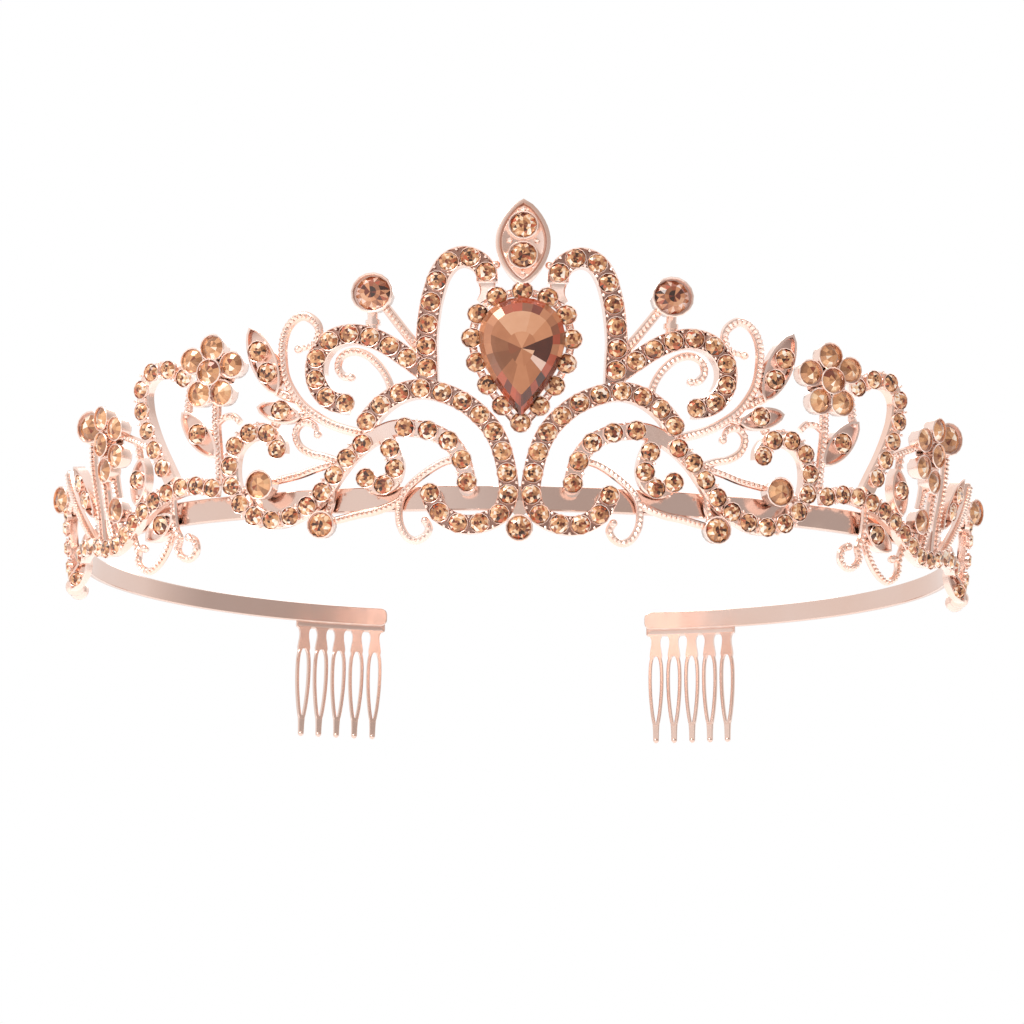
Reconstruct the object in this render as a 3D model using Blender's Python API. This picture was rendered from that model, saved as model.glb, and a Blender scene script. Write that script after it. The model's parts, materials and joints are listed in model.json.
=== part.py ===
# Bridal tiara: a sprung C-shaped headband with a hair comb at each end, and a cast, stone-set
# ornament that follows the front of the band.
#
# The ornament is designed flat, as a drawing in millimetres: s runs along the band from the
# front centre, z is the height above the middle of the band, and depth points outwards. It is
# then bent round the band and leaned outwards. Only the +X half is drawn; the other half is
# its mirror image. Units in the scene are metres, +Z is up and the front faces -Y.

import math

import bmesh
import bpy
from mathutils import Matrix, Vector

MM = 0.001

# Headband: a flat strip whose plan is three tangent arcs on each side.
BAND_RADII = (78.0, 47.0, 50.0)
BAND_HEADINGS = (27.0, 104.0, 168.0)
BAND_HEIGHT = 3.0
BAND_THICKNESS = 0.8
BAND_STEP = 4.6
BAND_CORNER = 1.1

# The ornament stands off the band and leans outwards.
STAND_OFF = 1.8
LEAN = math.radians(8.0)

# Cast scrolls, wires and cups.
SCROLL_WIDTH = 2.1
SCROLL_BACK = -0.7
SCROLL_FRONT = 0.7
LAYER = 0.03
LEAF_BACK = -0.5
LEAF_FRONT = 0.55
WIRE_SIDES = 4
LONGEST_STEP = 5.0
MOST_TURN = math.radians(34.0)
FLAT_ENOUGH = math.radians(2.0)
CUP_WALL = 0.3
CUP_BACK = -0.9
ROUND_SIDES = 8

# Stones: those in rows have one size.
SEAT_GAP = 0.1
ROW_STONE = 1.1
ROW_HEIGHT = 0.75
NECK_WIDTH = 1.0
NECK_HEIGHT = 0.25
TABLE_SHARE = 0.58

# Pear stone and its halo.
PEAR_TIP = 9.6
PEAR_TOP = 23.1
PEAR_WIDTH = 6.0
PEAR_POINTS = 20
PEAR_RIM = 0.45
HALO_STONES = 14
HALO_OFFSET = 1.15
HALO_STONE = 1.0
HALO_CUP = 1.05

# Hair combs.
COMB_TEETH = 5
COMB_PITCH = 3.0
COMB_LENGTH = 18.8
COMB_THICKNESS = 0.7
COMB_END_MARGIN = 1.6


# ---------------------------------------------------------------- design of one half
# Centre lines of the scrolls that carry stones.
INNER_SCROLLS = {
    "crest_arch": [
        (10.7, 13.4), (10.75, 16.0), (10.8, 18.5), (10.55, 21.2), (10.1, 23.7), (9.3, 26.2),
        (8.1, 27.8), (6.5, 28.3), (4.9, 27.6), (4.05, 26.3), (3.95, 24.9)],
    "shoulder_scroll": [
        (11.2, 14.9), (13.0, 16.3), (15.1, 17.85), (17.4, 19.0), (19.8, 19.5), (22.2, 18.85),
        (23.8, 16.9), (24.0, 14.4), (22.7, 12.1), (20.5, 11.2), (19.1, 12.1)],
    "main_arch": [
        (18.8, 7.3), (17.9, 8.9), (16.2, 10.8), (14.0, 12.15), (11.6, 12.65), (9.2, 12.2),
        (6.8, 11.15), (4.8, 9.6), (3.2, 7.7), (2.2, 5.6), (1.55, 3.0), (1.3, 0.4),
        (2.2, -2.0), (4.5, -3.2), (6.9, -3.3), (9.2, -2.1), (10.4, 0.2), (10.3, 1.6)],
    "s_scroll": [
        (29.2, 5.0), (29.2, 6.9), (30.9, 8.6), (33.1, 8.4), (34.95, 6.95), (35.65, 4.7),
        (35.45, 2.15), (34.15, -0.2), (31.9, -1.85), (29.4, -2.2), (27.2, -1.7),
        (25.15, -0.55), (23.3, 1.05), (21.85, 2.9), (20.2, 4.85), (18.2, 6.5), (16.2, 7.6),
        (14.6, 8.1), (12.75, 8.05), (10.35, 7.6), (8.05, 6.25), (6.7, 4.1), (6.1, 1.5),
        (6.2, 0.4)],
    "comma_hook": [
        (16.0, 7.7), (15.3, 6.2), (14.75, 4.8), (14.55, 3.2), (15.2, 1.8), (16.7, 1.3),
        (18.0, 2.2), (18.4, 3.4)],
}
OUTER_SCROLLS = {
    "outer_loop": [
        (40.8, 15.7), (42.6, 16.9), (44.6, 17.8), (47.0, 17.6), (48.65, 15.8), (48.75, 13.15),
        (48.0, 10.5), (46.95, 7.95), (45.7, 5.5), (44.6, 3.3)],
    "garland": [
        (36.95, 2.1), (38.2, 2.3), (40.4, 2.8), (42.7, 2.85), (44.9, 2.5), (46.9, 1.95),
        (48.9, 1.1), (50.9, 0.0), (52.9, -1.2), (54.9, -2.4), (57.2, -3.0), (59.7, -2.7),
        (62.2, -2.0), (64.8, -1.8), (67.0, -2.2), (68.8, -2.9)],
    "end_scroll": [
        (72.6, 4.7), (74.9, 4.0), (76.8, 2.4), (77.8, 0.1), (77.4, -2.1), (75.8, -3.7),
        (73.6, -4.4)],
}

# Rows of stones: the scroll, how far the middles of the first and the last stone are from its
# two ends, and how many stones there are. The s_scroll is bare metal where the hook crosses it.
INNER_ROWS = {
    "crest_arch_stones": ("crest_arch", 1.7, 1.5, 8),
    "shoulder_scroll_stones": ("shoulder_scroll", 2.3, 1.6, 9),
    "main_arch_stones": ("main_arch", 1.9, 1.3, 16),
    "s_scroll_stones": ("s_scroll", 1.3, 17.6, 15),
    "s_scroll_curl_stones": ("s_scroll", 41.8, 1.2, 5),
    "comma_hook_stones": ("comma_hook", 2.2, 1.2, 4),
}
OUTER_ROWS = {
    "outer_loop_stones": ("outer_loop", 2.7, 2.6, 7),
    "garland_stones": ("garland", 1.3, 1.3, 14),
    "end_scroll_stones": ("end_scroll", 1.3, 1.3, 5),
}

# Plain and beaded wires: centre lines, radius in millimetres.
INNER_WIRES = [
    ([(26.3, 18.2), (24.6, 18.5), (23.8, 19.6), (23.9, 20.9), (24.9, 21.95), (26.1, 22.2),
      (27.5, 21.2), (28.3, 19.3), (28.4, 17.0), (28.1, 14.9), (27.2, 13.0), (25.9, 11.3),
      (24.0, 9.8), (22.0, 8.7), (20.0, 8.0), (18.4, 7.6)], 0.5),
    ([(15.1, 12.2), (15.4, 13.7), (16.4, 15.5), (18.0, 17.0), (19.7, 17.5), (21.1, 16.9),
      (21.5, 15.6), (20.8, 14.6), (19.8, 14.4)], 0.42),
    ([(24.1, 7.8), (24.6, 8.9), (25.8, 9.4), (26.8, 8.7), (27.0, 7.6), (26.4, 6.4),
      (25.0, 5.5), (23.4, 5.1), (21.5, 4.4)], 0.42),
    ([(22.0, 4.3), (24.2, 3.8), (26.6, 3.1), (29.6, 2.6)], 0.42),
    ([(31.6, 2.0), (33.4, 1.8), (35.0, 1.6)], 0.5),
    ([(7.6, 4.4), (9.2, 3.9), (10.9, 2.9), (12.6, 1.6), (13.8, 0.2), (14.3, -1.4),
      (14.2, -3.2), (13.4, -4.7), (12.3, -5.2), (11.2, -4.7), (10.7, -3.8), (11.1, -2.9)],
     0.42),
    ([(14.0, -0.4), (15.5, -1.1), (17.4, -1.7), (19.4, -2.0), (22.2, -2.6)], 0.42),
    ([(22.4, 1.2), (22.6, -0.4), (23.2, -2.0)], 0.42),
    ([(15.6, 22.5), (14.0, 20.3), (12.4, 18.2), (11.2, 16.6)], 0.5),
    ([(17.2, 22.4), (17.2, 19.2)], 0.6),
    ([(26.6, 12.2), (27.8, 12.6), (29.4, 13.4)], 0.5),
    ([(25.0, 10.4), (26.3, 10.2), (27.4, 10.8)], 0.5),
    ([(29.0, 10.2), (29.8, 9.2)], 0.5),
]
OUTER_WIRES = [
    ([(37.6, 12.6), (37.75, 10.0), (37.65, 7.4), (37.5, 4.8), (37.6, 2.6)], 0.5),
    ([(37.7, 10.2), (36.5, 10.9), (35.2, 10.8), (34.4, 10.0)], 0.4),
    ([(41.2, 15.0), (41.7, 13.0), (41.9, 11.3)], 0.45),
    ([(46.4, 7.6), (48.5, 8.6), (50.6, 9.6), (53.0, 10.6)], 0.45),
    ([(50.3, 6.6), (50.6, 9.5)], 0.45),
    ([(50.9, 3.0), (51.2, -0.2)], 0.45),
    ([(56.1, 8.2), (55.9, 4.8), (55.2, 2.0)], 0.5),
    ([(59.2, 8.4), (58.4, 4.6), (58.2, 2.2), (57.4, 0.2), (56.6, -2.8)], 0.5),
    ([(61.0, 12.2), (61.5, 8.6), (61.2, 5.2), (60.6, 2.0), (60.6, -2.4)], 0.45),
    ([(44.9, 2.4), (45.0, 0.4), (44.8, -1.8), (44.2, -3.2), (44.6, -4.6), (43.9, -5.7),
      (42.6, -5.9), (41.6, -5.1), (41.7, -3.9), (42.6, -3.3)], 0.42),
    ([(45.2, -2.4), (46.4, -4.4), (48.0, -6.0), (49.8, -6.8), (51.3, -6.4), (52.1, -5.1),
      (51.7, -3.8), (50.5, -3.9)], 0.42),
    ([(51.9, -4.2), (52.9, -1.6)], 0.42),
    ([(62.4, -1.6), (64.6, 0.4), (67.0, 2.6), (69.4, 5.0), (71.4, 7.4), (72.4, 9.6)], 0.6),
    ([(70.0, 5.6), (71.6, 5.2), (73.2, 4.6)], 0.55),
    ([(60.6, 0.8), (62.4, 2.8)], 0.5),
    ([(71.6, 7.6), (73.4, 7.4), (75.0, 7.3)], 0.55),
    ([(68.0, -2.6), (71.0, -3.8), (74.4, -4.3)], 0.5),
    ([(74.2, -4.2), (77.0, -5.0), (80.0, -4.6), (83.4, -4.4), (86.4, -4.2)], 0.5),
]

# Marquise leaves: the two tips and the width.
FINIAL_LEAF = ((0.0, 24.9), (0.0, 35.0), 5.8)
INNER_LEAVES = [((29.0, 12.8), (32.3, 21.5), 3.4), ((26.0, 9.9), (31.7, 11.6), 2.7)]
OUTER_LEAVES = [
    ((37.6, 6.0), (42.3, 12.1), 3.2),
    ((49.4, 7.4), (51.2, 1.6), 3.0),
    ((44.6, -0.4), (49.6, -3.0), 2.9),
    ((61.4, 1.6), (67.6, 9.6), 3.2),
]

# Single stones in cups or on leaves: place, radius, and how far forward the seat is.
SINGLE_STONES_INNER = {
    "post_stone": ((17.0, 24.1), 2.25, 1.3),
    "large_scroll_stone": ((31.1, 2.1), 1.5, 1.5),
    "hanging_stone": ((23.6, -3.05), 1.5, 0.9),
    "horizontal_leaf_stone": ((28.5, 10.95), 1.1, 0.7),
}
SINGLE_STONES_OUTER = {
    "hanging_leaf_stone": ((39.95, 9.1), 1.15, 0.7),
    "upper_leaf_stone": ((50.3, 4.7), 1.1, 0.7),
    "lower_leaf_stone": ((46.5, -1.4), 1.2, 0.7),
    "outer_cup_stone": ((55.1, 1.6), 1.4, 1.1),
    "end_cup_stone": ((75.0, 7.2), 1.5, 2.0),
}
PAIRED_STONES = {
    "diagonal_leaf_stones": [(30.15, 15.7), (31.25, 18.25)],
    "end_leaf_stones": [(63.6, 4.3), (65.5, 6.9)],
}
PAIRED_STONE_RADIUS = 1.1
FINIAL_STONES = {"finial_stone_lower": (0.0, 28.3), "finial_stone_upper": (0.0, 32.0)}
FINIAL_STONE_RADIUS = 1.7
DROP_STONE = (0.0, -3.55)
DROP_STONE_RADIUS = 1.15

# Flowers: centre, first petal angle, petals, distance of the petals and radius of a stone.
INNER_FLOWER = dict(centre=(38.0, 16.5), angle=32.0, petals=5, reach=3.1, radius=1.35,
                    first_radius=1.35, first_reach=3.1)
OUTER_FLOWER = dict(centre=(57.6, 10.9), angle=22.0, petals=5, reach=3.0, radius=1.3,
                    first_radius=1.7, first_reach=3.4)
FLOWER_FRONT = 0.9

# Solder pads that join the castings to the band.
INNER_PADS = [(1.35, 0.2), (6.2, 0.9), (24.3, 0.1), (34.2, -0.1)]
OUTER_PADS = [(50.9, 0.0), (77.8, 0.2)]
PAD_BACK = -1.25
PAD_RADIUS = 0.8


# ---------------------------------------------------------------- from drawing to space
def band_point(s):
    """Plan position in millimetres and heading in radians at a distance s along the band."""
    side = -1.0 if s < 0 else 1.0
    rest = abs(s)
    x = y = start = 0.0
    for radius, heading in zip(BAND_RADII, BAND_HEADINGS):
        run = min(rest, radius * (math.radians(heading) - start))
        end = start + run / radius
        x += radius * (math.sin(end) - math.sin(start))
        y += radius * (math.cos(start) - math.cos(end))
        rest -= run
        start = end
    return side * x, y, side * start


def band_length():
    """Half the length of the strip."""
    total = start = 0.0
    for radius, heading in zip(BAND_RADII, BAND_HEADINGS):
        total += radius * (math.radians(heading) - start)
        start = math.radians(heading)
    return total


def place(s, z, depth, off=STAND_OFF, lean=LEAN):
    """A point of the flat drawing bent round the band."""
    x, y, heading = band_point(s)
    out = off + z * math.sin(lean) + depth * math.cos(lean)
    height = z * math.cos(lean) - depth * math.sin(lean)
    return Vector((x + out * math.sin(heading), y - out * math.cos(heading), height)) * MM


def place_on_band(s, z, depth):
    return place(s, z, depth, 0.0, 0.0)


def frame_at(s, z):
    """Rigid frame at a place of the ornament: along the band, up the ornament, outwards."""
    heading = band_point(s)[2]
    along = Vector((math.cos(heading), math.sin(heading), 0.0))
    out = Vector((math.sin(heading) * math.cos(LEAN), -math.cos(heading) * math.cos(LEAN),
                  -math.sin(LEAN)))
    return place(s, z, 0.0), along, out.cross(along), out


def dense_line(points):
    """Catmull-Rom curve through the points, as a fine polyline, and the distance run to each."""
    pts = [Vector(p) for p in points]
    pts = [pts[0] * 2 - pts[1]] + pts + [pts[-1] * 2 - pts[-2]]
    dense = []
    for a, b, c, d in zip(pts, pts[1:], pts[2:], pts[3:]):
        for k in range(12):
            t = k / 12
            dense.append(0.5 * (2 * b + (c - a) * t + (2 * a - 5 * b + 4 * c - d) * t * t
                                + (3 * b - a - 3 * c + d) * t ** 3))
    dense.append(pts[-2])
    return dense, running_length(dense)


def running_length(points):
    lengths = [0.0]
    for a, b in zip(points, points[1:]):
        lengths.append(lengths[-1] + (b - a).length)
    return lengths


def point_at(dense, lengths, distance):
    """Point and unit tangent at a distance along a fine polyline."""
    distance = min(max(distance, 0.0), lengths[-1])
    k = max(1, next((i for i, run in enumerate(lengths) if run >= distance), len(lengths) - 1))
    share = (distance - lengths[k - 1]) / (lengths[k] - lengths[k - 1])
    return dense[k - 1].lerp(dense[k], share), (dense[k] - dense[k - 1]).normalized()


def stations(points, longest=LONGEST_STEP):
    """Points and tangents along a smooth curve, closer together where it turns more."""
    dense, lengths = dense_line(points)
    stops = [0]
    turned_by = 0.0
    for k in range(1, len(dense) - 1):
        turned_by += abs((dense[k] - dense[k - 1]).angle(dense[k + 1] - dense[k]))
        if turned_by > MOST_TURN or lengths[k] - lengths[stops[-1]] > longest:
            stops.append(k)
            turned_by = 0.0
    if len(stops) > 1 and lengths[-1] - lengths[stops[-1]] < 0.4:
        stops.pop()
    stops.append(len(dense) - 1)
    return [point_at(dense, lengths, lengths[k]) for k in stops]


# ---------------------------------------------------------------- closed shells
def shell(rings, loop=False):
    """A closed bmesh from rings of equal size: sides between them and a face on each end."""
    bm = bmesh.new()
    rows = [[bm.verts.new(point) for point in ring] for ring in rings]
    pairs = list(zip(rows, rows[1:])) + ([(rows[-1], rows[0])] if loop else [])
    for low, high in pairs:
        for k in range(len(low)):
            n = (k + 1) % len(low)
            bm.faces.new((low[k], low[n], high[n], high[k]))
    if not loop:
        bm.faces.new(rows[0])
        bm.faces.new(rows[-1])
    bmesh.ops.triangulate(bm, faces=bm.faces)
    bmesh.ops.recalc_face_normals(bm, faces=bm.faces)
    return bm


def section(point, tangent, half_width, back, front, top_share=1.0, put=place):
    """Four corners of a flat strip across its centre line."""
    across = Vector((-tangent.y, tangent.x))
    corners = []
    for side, depth in ((-1, back), (1, back), (top_share, front), (-top_share, front)):
        flat = point + across * half_width * side
        corners.append(put(flat.x, flat.y, depth))
    return corners


def ribbon(points, width=SCROLL_WIDTH, back=SCROLL_BACK, front=SCROLL_FRONT, put=place,
           longest=LONGEST_STEP):
    """A flat strip along a smooth line, its width in the drawing."""
    return shell([section(p, t, width / 2, back, front, put=put)
                  for p, t in stations(points, longest)])


def wire(points, radius):
    """A round wire whose section stands across the drawing and in depth."""
    rings = []
    for p, t in stations(points):
        across = Vector((-t.y, t.x))
        ring = []
        for k in range(WIRE_SIDES):
            angle = 2 * math.pi * k / WIRE_SIDES
            flat = p + across * radius * math.cos(angle)
            ring.append(place(flat.x, flat.y, radius * math.sin(angle)))
        rings.append(ring)
    return shell(rings)


def turned(spot, profile, sides=ROUND_SIDES):
    """A round piece on an axis pointing outwards, from (radius, depth) pairs back to front."""
    origin, along, up, out = frame_at(*spot)
    rings = []
    for radius, depth in profile:
        rings.append([origin + (along * math.cos(2 * math.pi * (k + 0.5) / sides)
                                + up * math.sin(2 * math.pi * (k + 0.5) / sides)) * radius * MM
                      + out * depth * MM for k in range(sides)])
    return shell(rings)


def outline_plate(outlines):
    """A rigid plate from (outline, depth) pairs, placed in the frame of its own centre."""
    points = outlines[0][0]
    centre = sum((Vector(p) for p in points), Vector((0.0, 0.0))) / len(points)
    origin, along, up, out = frame_at(centre.x, centre.y)
    rings = []
    for outline, depth in outlines:
        rings.append([origin + (along * (p[0] - centre.x) + up * (p[1] - centre.y)
                                + out * depth) * MM for p in outline])
    return shell(rings)


def lens(tip_a, tip_b, width, points=6):
    """Outline of a marquise leaf between two tips."""
    a, b = Vector(tip_a), Vector(tip_b)
    across = Vector((a.y - b.y, b.x - a.x)).normalized()
    outline = []
    for side in (1, -1):
        for k in range(points):
            t = k / points if side == 1 else 1 - k / points
            outline.append(a.lerp(b, t) + across * side * width / 2 * math.sin(math.pi * t) ** 0.8)
    return outline


def pear(offset=0.0, scale=1.0, points=PEAR_POINTS):
    """Outline of the pear stone, tip down, moved outwards by an offset."""
    middle = (PEAR_TIP + PEAR_TOP) / 2
    half = (PEAR_TOP - PEAR_TIP) / 2
    outline = []
    for k in range(points):
        t = 2 * math.pi * k / points
        x = PEAR_WIDTH * math.sin(t) * abs(math.sin(t / 2))
        outline.append(Vector((x, middle - half * math.cos(t))))
    moved = []
    for k, p in enumerate(outline):
        ahead = outline[(k + 1) % points] - outline[k - 1]
        normal = Vector((ahead.y, -ahead.x)).normalized()
        flat = p + normal * offset
        moved.append(Vector((flat.x * scale, middle + (flat.y - middle) * scale)))
    return moved


def cup(spot, radius, front, sides=ROUND_SIDES):
    """A tapered collet whose flat front seats a stone of the given radius."""
    outer = radius + CUP_WALL
    return turned(spot, [(outer * 0.6, CUP_BACK), (outer, front - 0.5), (outer, front)], sides)


def stone_shell(spot, radius, seat, sides=ROUND_SIDES):
    """A round brilliant: short pavilion, girdle and table."""
    low = seat + SEAT_GAP
    return turned(spot, [(radius * 0.9, low), (radius, low + radius * 0.25),
                         (radius * TABLE_SHARE, low + radius * 0.7)], sides)


def stone_row(line, first, last, count):
    """A row of set stones joined by the adhesive bed that they stand in."""
    dense, lengths = dense_line(line)
    pitch = (lengths[-1] - last - first) / (count - 1)
    base = SCROLL_FRONT + SEAT_GAP
    neck = (NECK_WIDTH / 2, base + NECK_HEIGHT, 1.0)
    stone = (ROW_STONE, base + ROW_HEIGHT, TABLE_SHARE)
    places = [(first - ROW_STONE, neck)]
    for k in range(count):
        middle = first + k * pitch
        places += [(middle - ROW_STONE / 2, stone), (middle + ROW_STONE / 2, stone)]
        gap = pitch / 2 if k < count - 1 else ROW_STONE
        places.append((middle + gap, neck))
    rings = []
    for distance, (half, top, share) in places:
        p, t_dir = point_at(dense, lengths, distance)
        rings.append(section(p, t_dir, half, base, top, share))
    return shell(rings)


# ---------------------------------------------------------------- objects and materials
def material(name, colour, roughness, metallic):
    mat = bpy.data.materials.new(name)
    mat.use_nodes = True
    shader = mat.node_tree.nodes["Principled BSDF"]
    shader.inputs["Base Color"].default_value = (*colour, 1.0)
    shader.inputs["Roughness"].default_value = roughness
    shader.inputs["Metallic"].default_value = metallic
    return mat


FINISHES = {
    "band_metal": ((0.80, 0.52, 0.42), 0.18, 1.0),
    "cast_metal": ((0.86, 0.56, 0.44), 0.24, 1.0),
    "small_crystal": ((0.72, 0.42, 0.26), 0.05, 0.0),
    "large_crystal": ((0.62, 0.28, 0.16), 0.03, 0.0),
}


def add_object(name, bm, finish):
    mesh = bpy.data.meshes.new(name)
    bm.to_mesh(mesh)
    bm.free()
    mesh.materials.append(material(name, *FINISHES[finish]))
    obj = bpy.data.objects.new(name, mesh)
    bpy.context.scene.collection.objects.link(obj)
    return obj


def fuse(name, shells, finish):
    """One closed body from shells that run into each other."""
    base = add_object(name, shells[0], finish)
    pieces = bpy.data.collections.new(name + "_pieces")
    bpy.context.scene.collection.children.link(pieces)
    for k, bm in enumerate(shells[1:]):
        mesh = bpy.data.meshes.new(f"{name}_piece_{k}")
        bm.to_mesh(mesh)
        bm.free()
        pieces.objects.link(bpy.data.objects.new(mesh.name, mesh))
    union = base.modifiers.new("union", "BOOLEAN")
    union.operation = "UNION"
    union.operand_type = "COLLECTION"
    union.collection = pieces
    union.solver = "EXACT"
    graph = bpy.context.evaluated_depsgraph_get()
    fused = bpy.data.meshes.new_from_object(base.evaluated_get(graph))
    base.modifiers.remove(union)
    base.data = fused
    fused.name = name
    for obj in list(pieces.objects):
        bpy.data.objects.remove(obj)
    bpy.data.collections.remove(pieces)
    bm = bmesh.new()
    bm.from_mesh(fused)
    bmesh.ops.dissolve_limit(bm, angle_limit=FLAT_ENOUGH, verts=bm.verts, edges=bm.edges)
    bmesh.ops.triangulate(bm, faces=bm.faces)
    bm.to_mesh(fused)
    bm.free()
    return base


def mirror(obj):
    """The same piece on the -X side."""
    obj.name = obj.name + "_right"
    mesh = obj.data.copy()
    mesh.transform(Matrix.Scale(-1.0, 4, Vector((1.0, 0.0, 0.0))))
    mesh.flip_normals()
    twin = bpy.data.objects.new(obj.name.replace("_right", "_left"), mesh)
    bpy.context.scene.collection.objects.link(twin)


# ---------------------------------------------------------------- pieces
def headband():
    """The sprung strip, with rounded lower and upper corners at both ends."""
    half = band_length()
    count = round(2 * half / BAND_STEP)
    stops = [-half + 2 * half * k / count for k in range(count + 1)]
    corner = [half, half - BAND_CORNER * 0.3, half - BAND_CORNER]
    stops = [-c for c in corner] + stops[1:-1] + corner[::-1]
    rings = []
    for s in stops:
        left = half - abs(s)
        cut = BAND_CORNER - left
        drop = BAND_CORNER - math.sqrt(BAND_CORNER ** 2 - cut ** 2) if cut > 0 else 0.0
        top = BAND_HEIGHT / 2 - drop
        depth = BAND_THICKNESS / 2
        rings.append([place_on_band(s, z, d)
                      for z, d in ((-top, -depth), (top, -depth), (top, depth), (-top, depth))])
    add_object("headband", shell(rings), "band_metal")


def comb_plate(points, width, thin, longest=COMB_LENGTH):
    """A strip of the comb, thinner than the spine by a little on each face."""
    back = BAND_THICKNESS / 2 + SEAT_GAP
    return ribbon(points, width, back + thin, back + COMB_THICKNESS - thin, place_on_band,
                  longest)


def comb():
    """Five looped teeth hanging from a spine that lies on the outer face of the band's end."""
    end = band_length() - 0.2
    width = (COMB_TEETH - 1) * COMB_PITCH
    last = end - COMB_END_MARGIN
    shells = [comb_plate([(last - width - 1.3, -0.6), (last - width / 2, -0.6), (end, -0.6)],
                         2.4, 0.0, LONGEST_STEP)]
    low = -BAND_HEIGHT / 2
    tip = low - COMB_LENGTH
    for k in range(COMB_TEETH):
        s = last - k * COMB_PITCH
        shells.append(comb_plate([(s, low + 0.4), (s, low - 4.6)], 2.1, 0.04))
        for side in (-1, 1):
            arm = [(s + side * 0.6, low - 4.0), (s + side * 0.8, low - 7.0),
                   (s + side * 0.25, low - 15.2)]
            shells.append(comb_plate(arm, 0.62, 0.08 + 0.02 * side, COMB_LENGTH / 2))
        shells.append(comb_plate([(s, low - 14.4), (s, tip)], 0.95, 0.02))
    mirror(fuse("comb", shells, "band_metal"))


def halo_loop(loop, shapes, back, front, table=1.0):
    """A closed scalloped ring. Each stone's share of it is a list of places and half-widths,
    and a place may carry its own height and table share."""
    lengths = running_length(loop)
    pitch = lengths[-1] / HALO_STONES
    rings = []
    for k in range(HALO_STONES):
        for shape in shapes:
            top, share = (back + shape[2], shape[3]) if len(shape) > 2 else (front, table)
            p, t = point_at(loop, lengths, (pitch * (k - 0.5 + shape[0])) % lengths[-1])
            rings.append(section(p, t, shape[1], back, top, share))
    return shell(rings, loop=True)


def centre():
    """Pear frame with its halo cups, the finial leaf above it and the drop below."""
    halo = pear(HALO_OFFSET, points=80)
    loop = halo + halo[:1]
    shells = [outline_plate([(pear(PEAR_RIM), SCROLL_BACK), (pear(PEAR_RIM), PEAR_RIM)])]
    shells.append(halo_loop(loop, ((0.0, HALO_CUP * 0.6), (0.3, HALO_CUP), (0.7, HALO_CUP)),
                            SCROLL_BACK - 0.1, SCROLL_FRONT + 0.05))
    shells.append(outline_plate([(lens(*FINIAL_LEAF, points=8), SCROLL_BACK),
                                 (lens(*FINIAL_LEAF, points=8), SCROLL_FRONT)]))
    shells.append(wire([(0.0, 23.6), (0.0, 25.8)], 0.6))
    fuse("centre_casting", shells, "cast_metal")

    low = SCROLL_FRONT + SEAT_GAP
    add_object("pear_stone", outline_plate([(pear(-0.45), low), (pear(-0.25), low + 0.9),
                                            (pear(-0.25, 0.62), low + 2.6)]), "large_crystal")
    add_object("halo_stones", halo_loop(loop, ((0.0, NECK_WIDTH / 3, NECK_HEIGHT, 1.0),
                                               (0.34, HALO_STONE), (0.66, HALO_STONE)),
                                        low, low + ROW_HEIGHT, TABLE_SHARE), "small_crystal")
    for name, spot in FINIAL_STONES.items():
        add_object(name, stone_shell(spot, FINIAL_STONE_RADIUS, SCROLL_FRONT), "small_crystal")

    add_object("centre_drop_cup", cup(DROP_STONE, DROP_STONE_RADIUS, 0.6), "cast_metal")
    add_object("centre_drop_stone", stone_shell(DROP_STONE, DROP_STONE_RADIUS, 0.6),
               "small_crystal")


def flower_spots(flower):
    """Centre and petals as (spot, radius)."""
    spots = [(flower["centre"], flower["radius"])]
    for k in range(flower["petals"]):
        angle = math.radians(flower["angle"] + 360.0 * k / flower["petals"])
        reach = flower["first_reach"] if k == 0 else flower["reach"]
        radius = flower["first_radius"] if k == 0 else flower["radius"]
        spots.append(((flower["centre"][0] + reach * math.cos(angle),
                       flower["centre"][1] + reach * math.sin(angle)), radius))
    return spots


def flower_stones(name, flower):
    """Six stones on the thin disc of adhesive that holds them together."""
    low = FLOWER_FRONT + SEAT_GAP
    shells = [turned(flower["centre"], [(flower["reach"] * 0.85, low + 0.05),
                                        (flower["reach"] * 0.85, low + 0.3)], 10)]
    shells += [turned(spot, [(radius, low + 0.15), (radius * TABLE_SHARE, low + 0.85)], 6)
               for spot, radius in flower_spots(flower)]
    mirror(fuse(name, shells, "small_crystal"))


def paired_stones(name, spots):
    """Two stones on one leaf, on a shared bed."""
    low = SCROLL_FRONT + SEAT_GAP
    shells = [turned(spot, [(PAIRED_STONE_RADIUS, low + 0.12),
                            (PAIRED_STONE_RADIUS * TABLE_SHARE, low + 0.75)]) for spot in spots]
    shells.append(ribbon(spots, 0.6, low + 0.03, low + 0.3))
    mirror(fuse(name, shells, "small_crystal"))


def leaf_plate(tip_a, tip_b, width):
    outline = lens(tip_a, tip_b, width)
    return outline_plate([(outline, LEAF_BACK), (outline, LEAF_FRONT)])


def wing(scrolls, wires, leaves, singles, cups, pads):
    """The shells of one casting: scrolls, wires, leaves, cups and solder pads."""
    shells = [ribbon(line, SCROLL_WIDTH, SCROLL_BACK + LAYER * k, SCROLL_FRONT - LAYER * k)
              for k, line in enumerate(scrolls.values())]
    shells += [wire(points, radius) for points, radius in wires]
    shells += [leaf_plate(*leaf) for leaf in leaves]
    shells += [cup(singles[key][0], singles[key][1], singles[key][2]) for key in cups]
    shells += [turned(pad, [(PAD_RADIUS, PAD_BACK), (PAD_RADIUS, 0.0)], 6) for pad in pads]
    return shells


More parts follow.
